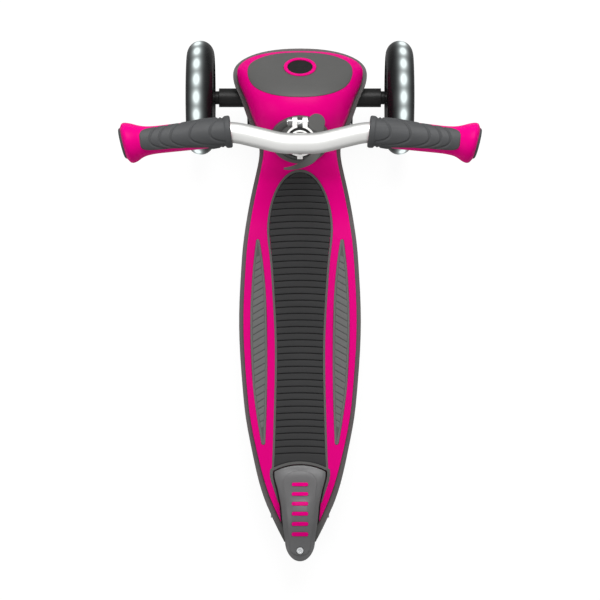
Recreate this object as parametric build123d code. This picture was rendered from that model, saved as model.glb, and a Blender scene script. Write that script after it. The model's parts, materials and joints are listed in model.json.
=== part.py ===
from build123d import *
import os
from math import atan2, cos, pi, radians, sin, sqrt, tan

os.makedirs("parts", exist_ok=True)

# Sizes in millimetres, angles in degrees. X is right, Y is forward, Z is up, the ground is Z = 0.

# Layout along the scooter
front_wheel_d = 121.0
rear_wheel_d = 80.0
wheelbase = 438.5
tail_overhang = 53.0
overall_length = front_wheel_d / 2 + wheelbase + tail_overhang
front_y = overall_length / 2 - front_wheel_d / 2
rear_y = front_y - wheelbase
front_z = front_wheel_d / 2
rear_z = rear_wheel_d / 2

# Deck shells: half widths of the outline, heights of the parting line and the walls
nose_half = 70.8
waist_half = 42.8
deck_half = 64.2
tail_half = 16.5
nose_overhang = 50.0
nose_widest_y = front_y + 21.0
lip_y = front_y + nose_overhang
tail_y = rear_y - 31.5
deck_top_z = 62.0
deck_rim_z = 56.0
deck_bottom_z = 36.0
nose_rim_z = 84.0
nose_bottom_z = 74.0
rim_width = 4.5
rim_growth = 0.3
rim_lap = 5.0
edge_lift = 2.5
cover_wall = 3.5
base_wall = 7.7
floor_thickness = 3.0
seat_gap = 0.15
running_gap = 0.4

# Side profile of the upper shell, walked forward from the flat deck
bend_start_y = front_y - 137.5
bend_radius = 68.0
riser_angle = 49.0
riser_length = 64.5
crest_radius = 28.0
nose_angle = 44.0
nose_length = 50.0
lip_radius = 64.0
lip_angle = 63.0

# Inlays of the deck
mat_proud = 1.2
inlay_proud = 0.6
inlay_depth = 1.6
mat_rim_width = 2.3
mat_front_y = front_y - 83.0
mat_widest_y = front_y - 144.0
mat_front_half = 34.7
mat_waist_half = 26.3
mat_rear_half = 29.5
rib_front = 59.5
rib_pitch = 7.0
rib_groove = 1.0
rib_rise = 3.0
groove_depth = 0.7

# Stem and T-bar
stem_rake = 11.07
stem_y = 158.6 - 215.5 + front_y
stem_z = 117.0
lean_z = 102.0
lean_limit = 12.0
lower_tube_d = 25.0
upright_d = 19.0
tube_wall = 1.5
clamp_height = 312.0
bar_height = 573.0
bar_d = 17.6
bar_half = 148.0
bar_bend_x = 57.0
bar_bend_rise = 8.5
bar_setback = 1.7
bar_end_drop = 1.6
socket_d = 28.0
bar_travel = 100.0
bar_hold = 130.0

# Clamp at the top of the lower tube
clamp_ring_d = 29.0
clamp_ring_h = 16.0
ear_gap = 5.0
ear_thickness = 4.6
ear_reach = 22.5
skewer_d = 5.0
skewer_reach = 17.4
boss_d = 15.8
lever_height = 13.0

# Grips
grip_inner_x = 57.7
grip_outer_x = 150.0
grip_d = 24.0
grip_flange_d = 26.0
grip_flare_d = 33.5
grip_pad = 1.6

# Stem opening
ring_d = 60.6
ring_lip = 1.5
dome_opening_d = 45.0
dome_wall = 2.4
dome_gap = 0.8
dome_spread = 62.0

# Steering gear
kingpin_x = 46.0
kingpin_d = 10.0
hub_d = 22.0
arm_d = 20.0
steer_ratio = 1.25
tie_rod_h = 6.0
tie_pin_d = 8.0
ball_d = 8.0
plate_t = 4.0
plate_gap = 24.0
shaft_d = 12.0
bush_wall = 2.0
pin_gap = 0.05

# Front wheels
front_wheel_w = 29.0
front_wheel_x = 105.5
axle_d = 8.0
bearing_d = 22.0
bearing_w = 7.0
light_count = 20

# Rear wheel and brake
rear_wheel_w = 24.0
slot_half = 14.5
hinge_y = rear_y + 43.0
hinge_z = 54.5
hinge_pin_d = 4.0
barrel_d = 8.6
barrel_half = 15.0
fender_wall = 3.0
fender_edge_z = 62.5
fender_gap = 1.6
frame_width = 3.0
brake_plate_t = 1.6
brake_gap = 3.0
brake_bolt_y = rear_y - 42.5
bolt_head_d = 7.0
bolt_socket = 3.0
spring_d = 7.0
spring_wire = 1.2
spring_half = 5.0
axle_half = 27.6
axle_head_d = 12.5
bar_count = 6
bar_reach = 26.0
bar_length = 17.2
bar_width = 4.0

# Lock button in the nose
button_y = 237.0 - 215.5 + front_y
bezel_d = 34.0
button_d = 26.6
button_travel = 4.0


def smooth_step(t):
    t = min(max(t, 0.0), 1.0)
    return t * t * (3.0 - 2.0 * t)


def smooth_curve(points):
    """A curve y -> value through rising points that never overshoots them."""
    ys = [p[0] for p in points]
    vs = [p[1] for p in points]
    steps = [(vs[i + 1] - vs[i]) / (ys[i + 1] - ys[i]) for i in range(len(ys) - 1)]
    slopes = [steps[0]]
    for before, after in zip(steps, steps[1:]):
        slopes.append(0.0 if before * after <= 0 else 2 * before * after / (before + after))
    slopes.append(steps[-1])

    def value(y):
        i = 0
        while i < len(ys) - 2 and y > ys[i + 1]:
            i += 1
        h = ys[i + 1] - ys[i]
        t = min(max((y - ys[i]) / h, 0.0), 1.0)
        return (
            vs[i] * (1 + 2 * t) * (1 - t) ** 2
            + vs[i + 1] * t * t * (3 - 2 * t)
            + h * t * (1 - t) * (slopes[i] * (1 - t) - slopes[i + 1] * t)
        )

    return value


def spread(first, last, count):
    return [first + (last - first) * i / (count - 1) for i in range(count)]


def rounded(reach, depth, power, count):
    """Points of a quarter of a full-bodied oval, from (reach, 0) to (0, depth)."""
    points = []
    for i in range(count):
        angle = i * pi / 2 / count
        points.append((reach * cos(angle) ** (2 / power), depth * sin(angle) ** (2 / power)))
    return points + [(0.0, depth)]


def both_sides(points):
    """The points of a right-hand outline that ends on the axis, then their mirror images back again."""
    return points + [(-x, y) for x, y in reversed(points[:-1])]


# Outline in plan
half_width = smooth_curve(
    [
        (tail_y, tail_half),
        (rear_y - 1.5, tail_half + 0.31 * (deck_half - tail_half)),
        (rear_y + 15.5, tail_half + 0.457 * (deck_half - tail_half)),
        (rear_y + 49.0, tail_half + 0.648 * (deck_half - tail_half)),
        (rear_y + 116.0, tail_half + 0.895 * (deck_half - tail_half)),
        (front_y - 238.0, deck_half),
        (front_y - 170.0, waist_half + 0.864 * (deck_half - waist_half)),
        (front_y - 118.0, waist_half + 0.542 * (deck_half - waist_half)),
        (front_y - 84.0, waist_half + 0.173 * (deck_half - waist_half)),
        (front_y - 60.0, waist_half),
        (front_y - 30.5, waist_half + 0.375 * (nose_half - waist_half)),
        (front_y - 10.0, waist_half + 0.65 * (nose_half - waist_half)),
        (nose_widest_y, nose_half),
    ]
)
nose_power = 2.2


def inset_half(y, inset):
    """Half width inside a rim that grows towards the tail."""
    slope = half_width(y + 0.5) - half_width(y - 0.5)
    grown = inset * (1 + rim_growth * smooth_step((rear_y + 90.0 - y) / 90.0))
    return half_width(y) - grown * sqrt(1 + slope * slope)


def plan(inset):
    """Face of the outline moved inwards all round."""
    ys = spread(tail_y + 0.6 * inset, nose_widest_y, 20)
    side = [(inset_half(y, inset), y) for y in ys[:-1]]
    nose = rounded(nose_half - inset, lip_y - nose_widest_y - inset, nose_power, 7)
    edge = both_sides(side + [(x, nose_widest_y + d) for x, d in nose])
    return make_face([Spline(*edge), Line(edge[-1], edge[0])])


def block(face, low=10.0, high=200.0):
    return extrude(Pos(0, 0, low) * face, high - low)


# Heights along the scooter: level under the deck, rising to the nose
rim_rise_y = front_y - 128.0
bottom_rise_y = front_y - 116.0


def rim_height(y):
    rise = smooth_step((y - rim_rise_y) / 92.0)
    droop = 0.09 * max(0.0, y - (front_y - 36.0))
    return deck_rim_z + (nose_rim_z - deck_rim_z) * rise - droop


def bottom_height(y):
    return deck_bottom_z + (nose_bottom_z - deck_bottom_z) * smooth_step((y - bottom_rise_y) / 66.0)


def above(height, rise_y, shift):
    """Everything over a height curve that runs along Y, level up to rise_y."""
    points = [(0, y, height(y) + shift) for y in spread(rise_y, lip_y + 20, 14)]
    level_start = (0, tail_y - 40, points[0][2])
    high_start = (0, level_start[1], 250)
    high_end = (0, points[-1][1], 250)
    rise = [Line(level_start, points[0]), Spline(*points), Line(points[-1], high_end)]
    face = make_face(rise + [Line(high_end, high_start), Line(high_start, level_start)])
    return extrude(face, 90, both=True, dir=(1, 0, 0))


def above_rim(shift):
    return above(rim_height, rim_rise_y, shift)


def above_bottom(shift):
    return above(bottom_height, bottom_rise_y, shift)


def profile_walk():
    """Straight and curved runs of the top profile as (start y, start z, start angle, radius, turn, end y)."""
    runs = []
    y, z, angle = bend_start_y, deck_top_z, 0.0
    steps = [
        (bend_radius, riser_angle),
        (None, riser_length),
        (crest_radius, -riser_angle - nose_angle),
        (None, nose_length),
        (lip_radius, nose_angle - lip_angle),
        (None, 60.0),
    ]
    for radius, amount in steps:
        a = radians(angle)
        if radius is None:
            y2, z2 = y + amount * cos(a), z + amount * sin(a)
            runs.append((y, z, a, None, 0.0, y2))
        else:
            b = radians(angle + amount)
            side = 1.0 if amount > 0 else -1.0
            y2 = y + side * radius * (sin(b) - sin(a))
            z2 = z + side * radius * (cos(a) - cos(b))
            runs.append((y, z, a, radius, side, y2))
            angle += amount
        y, z = y2, z2
    return runs


profile_runs = profile_walk()


def profile(y):
    """Height and slope angle of the top profile at y."""
    if y <= bend_start_y:
        return deck_top_z, 0.0
    for y1, z1, a, radius, side, y2 in profile_runs:
        if y <= y2:
            break
    if radius is None:
        return z1 + (y - y1) * tan(a), a
    s = sin(a) + side * (y - y1) / radius
    s = min(max(s, -1.0), 1.0)
    return z1 + side * radius * (cos(a) - sqrt(1 - s * s)), atan2(s, sqrt(1 - s * s))


nose_start_y = bend_start_y - 16.0
nose_reach = lip_y - rim_width + 3.0 - nose_widest_y
nose_turns = [radians(turn) for turn in spread(0.0, 70.0, 7)]
nose_stations = (
    spread(nose_start_y, bend_start_y, 3)
    + spread(bend_start_y, front_y - 86, 5)[1:]
    + spread(front_y - 86, front_y - 43, 4)[1:]
    + spread(front_y - 43, front_y - 2, 5)[1:]
    + spread(front_y - 2, nose_widest_y, 4)[1:]
    + [nose_widest_y + nose_reach * sin(turn) ** (2 / nose_power) for turn in nose_turns[1:]]
)


def top_section(y, drop):
    """Upright section under the top surface: flat over the deck, domed over the riser and nose."""
    z, slope = profile(y)
    crown = z - drop / cos(slope)
    doming = smooth_step((y - nose_start_y) / 70.0)
    edge = crown - doming * max(1.5, z - rim_height(y) - edge_lift)
    if y <= nose_widest_y:
        w = half_width(y) - rim_width + 2.0
    else:
        t = (y - nose_widest_y) / nose_reach
        w = (nose_half - rim_width + 2.0) * (1 - t**nose_power) ** (1 / nose_power)
    quarter = rounded(w, crown - edge, 2.6, 5)
    points = [(x, y, edge + h) for x, h in both_sides(quarter)]
    low_left = (points[-1][0], y, 12.0)
    low_right = (points[0][0], y, 12.0)
    sides = [Line(points[-1], low_left), Line(low_left, low_right), Line(low_right, points[0])]
    return make_face([Spline(*points)] + sides)


def nose_top(drop):
    """Everything under the riser and the nose, with the surface lowered by drop."""
    return loft([top_section(y, drop) for y in nose_stations])


def ridge(drop):
    """Everything under the side profile, level from side to side, lowered by drop."""
    y0 = tail_y - 30.0
    path = [Line((0, y0, deck_top_z - drop), (0, bend_start_y, deck_top_z - drop))]
    radius = bend_radius + drop
    a = radians(riser_angle)
    bend_end = (0, bend_start_y + radius * sin(a), deck_top_z - drop + radius * (1 - cos(a)))
    bend_mid = (0, bend_start_y + radius * sin(a / 2), deck_top_z - drop + radius * (1 - cos(a / 2)))
    path.append(ThreePointArc((0, bend_start_y, deck_top_z - drop), bend_mid, bend_end))
    riser_end = (0, bend_end[1] + 30 * cos(a), bend_end[2] + 30 * sin(a))
    path.append(Line(bend_end, riser_end))
    low_end = (0, riser_end[1], 12.0)
    low_start = (0, y0, 12.0)
    path += [Line(riser_end, low_end), Line(low_end, low_start), Line(low_start, (0, y0, deck_top_z - drop))]
    return extrude(make_face(path), 80, both=True, dir=(1, 0, 0))


# Directions on the riser, on the nose and along the stem
riser_normal = Vector(0, -sin(radians(riser_angle)), cos(radians(riser_angle)))
nose_normal = Vector(0, sin(radians(nose_angle)), cos(radians(nose_angle)))
ring_z = profile(stem_y)[0]
ring_centre = Vector(0, stem_y, ring_z)
ring_plane = Plane(origin=ring_centre, x_dir=(1, 0, 0), z_dir=riser_normal)
button_centre = Vector(0, button_y, profile(button_y)[0])
button_plane = Plane(origin=button_centre, x_dir=(1, 0, 0), z_dir=nose_normal)
rake = radians(stem_rake)
stem_at_lean = Vector(0, stem_y - (lean_z - stem_z) * tan(rake), lean_z)
stem_plane = Plane(origin=stem_at_lean, x_dir=(1, 0, 0), z_dir=(0, -sin(rake), cos(rake)))
clamp_s = clamp_height / cos(rake)
bar_s = bar_height / cos(rake)

# The dome that fills the stem opening is a ball cap centred on the lean axis, so leaning keeps its gap.
dome_depth = (ring_z - lean_z) / cos(radians(riser_angle))
dome_centre = ring_centre - riser_normal * dome_depth
dome_radius = sqrt(dome_depth**2 + (dome_opening_d / 2 - dome_gap) ** 2)


def at_ring(shape):
    return ring_plane.location * shape


def at_button(shape):
    return button_plane.location * shape


def on_stem(shape):
    return stem_plane.location * shape


def tube(outer_d, inner_d, low, high):
    return Pos(0, 0, low) * extrude(Circle(outer_d / 2) - Circle(inner_d / 2), high - low)


def rod(diameter, low, high):
    return Pos(0, 0, low) * extrude(Circle(diameter / 2), high - low)


def along_x(shape):
    """Turn a shape built on Z so that its axis lies on X."""
    return Rot(0, 90, 0) * shape


def along_y(shape):
    """Turn a shape built on Z so that its axis lies on Y."""
    return Rot(-90, 0, 0) * shape


def mirror_x(shape):
    return mirror(shape, about=Plane.YZ)


def coil(radius, wire, length, turns):
    path = Helix(length / turns, length, radius)
    return sweep(Plane(origin=path @ 0, z_dir=path % 0) * Circle(wire / 2), path=path)


def save(name, *pieces):
    solids = [solid for piece in pieces for solid in piece.solids()]
    export_step(solids[0] if len(solids) == 1 else Compound(solids), f"parts/{name}.step")


# Plans of the inlays
mat_half = smooth_curve(
    [
        (rear_y + 40.0, mat_rear_half),
        (rear_y + 86.0, mat_waist_half + 0.45 * (mat_rear_half - mat_waist_half)),
        (front_y - 275.0, mat_waist_half),
        (front_y - 197.0, mat_waist_half + 0.42 * (mat_front_half - mat_waist_half)),
        (mat_widest_y, mat_front_half),
    ]
)
fender_taper_y = rear_y - 30.5
fender_half = smooth_curve(
    [
        (fender_taper_y, 15.8),
        (rear_y - 10.5, 18.4),
        (rear_y + 6.5, 20.0),
        (rear_y + 15.5, 22.0),
        (rear_y + 23.5, 23.7),
        (rear_y + 31.5, 26.0),
        (rear_y + 40.0, 26.5),
    ]
)
fender_front_y = rear_y + 46.5
fender_end_y = rear_y - tail_overhang
fender_arch_r = 58.0


def fender_plan(grow):
    """Outline of the fender moved outwards all round: arched front, tapering sides, round tail."""
    arch_r = fender_arch_r + grow
    corner_x = fender_half(rear_y + 40.0) + grow
    corner_y = fender_front_y - fender_arch_r + sqrt(arch_r**2 - corner_x**2)
    side = [(fender_half(y) + grow, y) for y in spread(rear_y + 32.0, fender_taper_y, 8)]
    tail = rounded(side[-1][0], fender_taper_y - fender_end_y + grow, 2.0, 5)
    edge = both_sides([(corner_x, corner_y)] + side + [(x, fender_taper_y - d) for x, d in tail[1:]])
    return make_face([Spline(*edge), ThreePointArc(edge[-1], (0, fender_front_y + grow), edge[0])])


def mat_plan(inset):
    """Outline of the mat and its rim: oval front, waisted sides, rear edge on the arch round the fender."""
    arch_r = fender_arch_r + fender_gap + frame_width - mat_rim_width + inset
    arch_y = fender_front_y - fender_arch_r
    corner_x = mat_rear_half - inset
    corner_y = arch_y + sqrt(arch_r**2 - corner_x**2)
    side = [(mat_half(y) - inset, y) for y in spread(corner_y, mat_widest_y, 10)]
    front = rounded(mat_front_half - inset, mat_front_y - mat_widest_y - inset, 2.1, 6)
    edge = both_sides(side + [(x, mat_widest_y + d) for x, d in front[1:]])
    return make_face([Spline(*edge), ThreePointArc(edge[-1], (0, arch_y + arch_r), edge[0])])


def side_pad_plan(inset):
    """Right-hand leaf with a small round tip at each end."""
    front_tip = (44.5, front_y - 152.5 - inset)
    rear_tip = (38.5, rear_y + 68.5 + inset)
    outer = [(46.6, 155.0), (50.6, 195.0), (52.3, 240.0), (50.0, 302.0), (44.6, 345.0), (40.7, 367.5)]
    inner = [(36.3, 367.5), (35.4, 348.0), (34.2, 290.0), (35.4, 220.0), (38.4, 182.0), (42.4, 155.0)]
    right = [(x - inset, front_y - d) for x, d in outer]
    left = [(x + inset, front_y - d) for x, d in inner]
    tips = [ThreePointArc(right[-1], rear_tip, left[0]), ThreePointArc(left[-1], front_tip, right[0])]
    return make_face([Spline(*right), Spline(*left)] + tips)


panel_widest_y = front_y + 20.5


def panel_plan(inset):
    front = rounded(55.0 - inset, lip_y - rim_width - 2.6 - panel_widest_y - inset, 2.1, 6)
    back = rounded(55.0 - inset, panel_widest_y - (front_y - 16.5) - inset, 2.3, 6)
    points = [(x, panel_widest_y - d) for x, d in reversed(back)]
    points += [(x, panel_widest_y + d) for x, d in front[1:]]
    return make_face(Spline(*both_sides(points)[:-1], periodic=True))


inlay_plans = {
    "mat": mat_plan(0),
    "frame": fender_plan(fender_gap + frame_width),
    "right_pad": side_pad_plan(0),
    "panel": panel_plan(0),
}
left_pad_plan = mirror_x(inlay_plans["right_pad"])
frame_taper_y = rear_y + 31.5
frame_tip_y = rear_y + 8.0
frame_tip = 0.8
frame_limit = [
    (-45.0, frame_taper_y),
    (-fender_half(frame_taper_y) - fender_gap - frame_width, frame_taper_y),
    (-fender_half(frame_tip_y) - fender_gap - frame_tip, frame_tip_y),
]
frame_limit += [(-x, y) for x, y in reversed(frame_limit)]
frame_limit += [(45.0, rear_y + 64.0), (-45.0, rear_y + 64.0)]
frame_outer = inlay_plans["frame"] & Polygon(*frame_limit, align=None)


def deck_y(s):
    """Place along Y at the distance s over the deck and up the riser, from where the deck starts to bend."""
    turn = radians(riser_angle)
    if s <= 0:
        return bend_start_y + s
    if s < bend_radius * turn:
        return bend_start_y + bend_radius * sin(s / bend_radius)
    return bend_start_y + bend_radius * sin(turn) + (s - bend_radius * turn) * cos(turn)


def inlay(face, proud):
    """A deck piece that fills its recess and stands proud of the deck."""
    return (block(face) & ridge(-proud)) - ridge(inlay_depth)


# Upper shell
stem_hole = at_ring(rod(ring_d + 2 * seat_gap, -60, 60))
button_hole = at_button(rod(bezel_d + 2 * seat_gap, -30, 30))
boss_spots = [(46.0, front_y - 175.0), (50.0, front_y - 245.0), (44.0, rear_y + 112.0)]
boss_spots += [(-x, y) for x, y in boss_spots]
floor_top_z = deck_bottom_z + floor_thickness

cover_blank = block(plan(rim_width + seat_gap)) & above_rim(seat_gap - rim_lap)
deck_slab = Pos(0, nose_start_y - 250, deck_top_z - 50) * Box(200, 500, 100)
deck_slab_inside = Pos(0, nose_start_y - 250, deck_top_z - cover_wall - 50) * Box(200, 500, 100)
hollow_start_y = rear_y + 57.0
hollow_limit = Pos(0, hollow_start_y + 250, 100) * Box(300, 500, 300)
cover = (cover_blank & deck_slab) + (cover_blank & nose_top(0))
hollow_blank = block(plan(rim_width + seat_gap + cover_wall)) & hollow_limit
cover = cover - (hollow_blank & deck_slab_inside) - (hollow_blank & nose_top(cover_wall))
inlay_floor = ridge(inlay_depth)
panel_floor = nose_top(inlay_depth)
for face in (inlay_plans["mat"], frame_outer, inlay_plans["right_pad"], left_pad_plan):
    cover = cover - (block(face) - inlay_floor)
cover = cover - (block(inlay_plans["panel"]) - panel_floor)
cover = cover - block(fender_plan(fender_gap)) - stem_hole - button_hole
ear_w = 8.0
ear_l = 11.0
ear_x = 20.2
ear_top_z = hinge_z + 3.7
ear_room = Box(2 * (ear_x + ear_w / 2 + seat_gap), ear_l + 2 * seat_gap, 20)
cover = cover - Pos(0, hinge_y, ear_top_z + seat_gap - 10) * ear_room
for x, y in boss_spots:
    boss = Pos(x, y, 0) * (rod(9, floor_top_z + seat_gap, deck_top_z - inlay_depth - 0.5) - rod(3.4, 30, 52))
    cover = cover + boss
save("deck_cover", cover)

# Inlays
mat_face = mat_plan(mat_rim_width)
mat = inlay(mat_plan(mat_rim_width + seat_gap), mat_proud)
rib_rear = fender_front_y + fender_gap + frame_width - bend_start_y
grooves = []
for i in range(1, int((rib_front - rib_rear) / rib_pitch)):
    y = deck_y(rib_front - i * rib_pitch)
    z, slope = profile(y)
    width = rib_groove * cos(slope)
    arc = ThreePointArc((-40, y - rib_rise), (0, y), (40, y - rib_rise))
    ends = [Line((x, y - rib_rise), (x, y - rib_rise + width)) for x in (-40, 40)]
    band = make_face([arc, Pos(0, width, 0) * arc] + ends)
    grooves.append(block(band, z + mat_proud - groove_depth / cos(slope), 120))
mat = mat - grooves
save("deck_mat", mat)
rim_ring = inlay(inlay_plans["mat"] - mat_face, inlay_proud)
frame_ring = inlay(frame_outer - fender_plan(fender_gap) - inlay_plans["mat"], inlay_proud)
save("mat_rim", rim_ring + frame_ring)

right_pad = inlay(side_pad_plan(seat_gap), inlay_proud)
save("side_pads", right_pad, mirror_x(right_pad))

panel = (block(panel_plan(seat_gap)) & nose_top(-inlay_proud)) - panel_floor - button_hole
save("nose_panel", panel)

# Lower shell
base = block(plan(0)) & above_bottom(0)
base = base - above_rim(0)
seat = block(plan(rim_width)) & above_rim(-rim_lap)
floor_end_y = bottom_rise_y
well = block(plan(base_wall)) & above_bottom(floor_thickness) & hollow_limit
open_front = block(plan(base_wall)) & (Pos(0, floor_end_y + 150, 100) * Box(300, 300, 300))
base = base - seat - well - open_front

# Ribs that carry the steel plate and the steering frame
frame_bottom_z = front_z - plate_gap / 2 - plate_t
tongue_start_y = front_y - 195.0
rib_x = 25.0
for x in (-rib_x, rib_x):
    low_rib = Pos(x, (tongue_start_y + floor_end_y) / 2, (floor_top_z + frame_bottom_z) / 2 - 0.5)
    base = base + low_rib * Box(5, floor_end_y - tongue_start_y, frame_bottom_z - floor_top_z + 1.0)
    high_rib_h = frame_bottom_z + plate_t - floor_top_z + 1.0
    high_rib = Pos(x, (hollow_start_y + tongue_start_y) / 2, floor_top_z - 1.0 + high_rib_h / 2)
    base = base + high_rib * Box(5, tongue_start_y - hollow_start_y - seat_gap, high_rib_h)

# Tail: lugs for the axle, wheel slot, pocket for the brake hinge
lug_d = 2 * (deck_rim_z - rim_lap - rear_z)
for side in (-1, 1):
    lug = Pos(side * 21.0, rear_y, rear_z) * along_x(rod(lug_d, -6.6, 6.6))
    base = base + (lug & block(plan(1.5)))
    ear = Pos(side * ear_x, hinge_y, ear_top_z - 8) * Box(ear_w, ear_l, 16)
    base = base + ear
slot_front_y = rear_y + rear_wheel_d / 2 + 2.5
base = base - Pos(0, slot_front_y - 60, 60) * Box(2 * slot_half, 120, 140)
base = base - Pos(0, hinge_y, 62) * Box(2 * (barrel_half + running_gap + 0.6), 16, 24)
base = base - Pos(0, hinge_y, hinge_z) * along_x(rod(hinge_pin_d + 0.04, -40, 40))
base = base - Pos(0, rear_y, rear_z) * along_x(rod(axle_d + 0.04, -60, 60))
for side in (-1, 1):
    base = base - Pos(side * (axle_half + 10), rear_y, rear_z) * along_x(rod(axle_head_d + 1.0, -10, 10))
for x, y in boss_spots:
    base = base - Pos(x, y, 0) * (rod(3.6, 20, 60) + rod(7.2, 20, deck_bottom_z + 1.2))
save("deck_base", base)

# Steel plate under the deck and the steering frame under the nose
frame_top_z = front_z + plate_gap / 2
tie_y = front_y - (lean_z - front_z) / steer_ratio
tongue_half = 30.0
lug_half = kingpin_x + 8.0
web_y = stem_at_lean.Y - 4.0
ear_t = 6.0
ear_inner = 6.0
bush_d = shaft_d + 2 * bush_wall
frame_bolt_spots = [(x, front_y - d) for x in (-18.0, 18.0) for d in (178.0, 130.0)]
kingpin_spots = [(-kingpin_x, front_y), (kingpin_x, front_y)]


def plate_outline(rear_edge_y):
    half = [
        (0, rear_edge_y),
        (tongue_half, rear_edge_y),
        (tongue_half, tie_y),
        (lug_half, front_y - 4),
        (lug_half, front_y + 10),
        (tongue_half, front_y + 22),
        (0, front_y + 22),
    ]
    return make_face(Polyline(*half, *[(-x, y) for x, y in reversed(half[1:-1])], close=True))


frame = block(plate_outline(tongue_start_y + seat_gap), frame_bottom_z, frame_bottom_z + plate_t)
frame += block(plate_outline(web_y), frame_top_z, frame_top_z + plate_t)
frame += Pos(0, web_y + plate_t / 2, front_z) * Box(2 * tongue_half - 8, plate_t, plate_gap + 2 * plate_t)
ear_top = lean_z - frame_top_z - plate_t
for side in (-1, 1):
    middle_y = tie_y + side * (ear_inner + ear_t / 2)
    ear = Pos(0, middle_y, 0) * along_y(rod(24, -ear_t / 2, ear_t / 2))
    frame += Pos(0, 0, lean_z) * ear
    frame += Pos(0, middle_y, lean_z - ear_top / 2) * Box(24, ear_t, ear_top + 1.0)
cup_y = tie_y + ear_inner + ear_t
cup_depth = 12.0
cup_d = 24.0
frame += Pos(0, cup_y, lean_z) * along_y(rod(cup_d + 5, -1, cup_depth))
frame -= Pos(0, cup_y, lean_z) * along_y(rod(cup_d, 0, cup_depth + 1))
frame -= Pos(0, tie_y, lean_z) * along_y(rod(bush_d + 0.04, -40, 14))
frame -= Pos(0, tie_y, frame_top_z) * Box(34, 2 * ear_inner, 20)
for x, y in kingpin_spots:
    frame -= Pos(x, y, 0) * rod(kingpin_d + 0.04, 20, 120)
for x, y in frame_bolt_spots:
    frame -= Pos(x, y, 0) * rod(6.2, 20, 60)
save("steering_frame", frame)

steel_z = frame_bottom_z + plate_t
steel = make_face(
    Polyline(
        (-36, hollow_start_y + 4), (36, hollow_start_y + 4), (40, front_y - 240), (36, floor_end_y - 4),
        (-36, floor_end_y - 4), (-40, front_y - 240), close=True,
    )
)
deck_plate = block(steel, steel_z, steel_z + 2.0)
for x, y in frame_bolt_spots:
    deck_plate -= Pos(x, y, 0) * rod(6.2, 20, 60)
save("deck_plate", deck_plate)
bolt_shape = rod(6, frame_bottom_z - 3.5, steel_z + 2) + rod(10, steel_z + 2, steel_z + 5)
save("frame_bolts", *[Pos(x, y, 0) * bolt_shape for x, y in frame_bolt_spots])
screw_shape = rod(3.3, deck_bottom_z, 51.5) + rod(7, deck_bottom_z + 0.1, deck_bottom_z + 1.2)
save("deck_screws", *[Pos(x, y, 0) * screw_shape for x, y in boss_spots])

bush = along_y(tube(bush_d, shaft_d + 2 * pin_gap, -ear_t / 2, ear_t / 2))
save("lean_bushes", *[Pos(0, tie_y + s * (ear_inner + ear_t / 2), lean_z) * bush for s in (-1, 1)])
centring_sleeve = tube(cup_d - 0.1, shaft_d + 2 * pin_gap + 0.1, 0.2, cup_depth - 0.5)
save("centring_sleeve", Pos(0, cup_y, lean_z) * along_y(centring_sleeve))

pin_low = frame_bottom_z - 3.0
pin_high = frame_top_z + plate_t
kingpin = rod(kingpin_d, pin_low, pin_high + 3)
kingpin += rod(kingpin_d + 6, pin_low, frame_bottom_z) + rod(kingpin_d + 6, pin_high, pin_high + 4)
save("kingpins", *[Pos(x, y, 0) * kingpin for x, y in kingpin_spots])

# Stem foot, lean shaft and the lever that drives the tie rod
foot_rear_y = stem_at_lean.Y - 9.5
foot_front_y = tie_y - ear_inner - ear_t - running_gap
socket_depth = 14.0
socket_top = 33.0
shaft_end_y = cup_y + cup_depth - 1.0
socket = on_stem(rod(socket_d, 0, socket_top))
socket += Pos(0, 0, lean_z) * along_y(rod(20, foot_rear_y, foot_front_y))
socket -= Pos(0, 0, lean_z) * along_y(rod(26, foot_front_y, foot_front_y + 60))
socket -= on_stem(rod(lower_tube_d + 0.1, socket_depth, socket_top + 5))
socket -= Pos(0, 0, lean_z) * along_y(rod(shaft_d + 0.02, foot_rear_y - 20, foot_front_y + 20))
save("stem_socket", socket)
save("lean_shaft", Pos(0, 0, lean_z) * along_y(rod(shaft_d, foot_rear_y + 0.5, shaft_end_y)))

lever_half = ear_inner - running_gap
steer_lever = along_y(rod(21, -lever_half, lever_half))
steer_lever += Pos(0, 0, -16) * Box(11, 2 * lever_half, 26)
steer_lever += rod(6, front_z - lean_z, -20) + Pos(0, 0, front_z - lean_z) * Sphere(ball_d / 2)
steer_lever -= along_y(rod(shaft_d + 0.02, -20, 20))
save("steer_lever", Pos(0, tie_y, lean_z) * steer_lever)

# Trim ring and dome of the stem opening
dome_at = Pos(*dome_centre)
ring = at_ring(rod(ring_d, -9.0, ring_lip)) - at_ring(rod(ring_d - 9.0, 0.2, 10))
ring -= dome_at * Sphere(dome_radius + dome_gap)
save("stem_ring", ring)
cap_foot = dome_centre + riser_normal * (dome_radius * cos(radians(dome_spread)))
cap_plane = Plane(origin=cap_foot, x_dir=(1, 0, 0), z_dir=riser_normal)
dome = dome_at * (Sphere(dome_radius) - Sphere(dome_radius - dome_wall))
dome &= cap_plane.location * Pos(0, 0, 50) * Box(200, 200, 100)
dome -= on_stem(rod(socket_d + 0.1, -10, 80))
save("stem_dome", dome)

# Lower tube and clamp
sleeve_flange = 3.0
tube_top = clamp_s + clamp_ring_h / 2 - sleeve_flange
lower_inner_d = lower_tube_d - 2 * tube_wall
save("lower_tube", on_stem(tube(lower_tube_d, lower_inner_d, socket_depth + 0.05, tube_top)))
sleeve = tube(lower_inner_d - 0.06, upright_d + 2 * pin_gap, tube_top - 40, tube_top)
sleeve += tube(lower_tube_d, upright_d + 2 * pin_gap, tube_top, tube_top + sleeve_flange)
save("clamp_sleeve", on_stem(sleeve))

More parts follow.
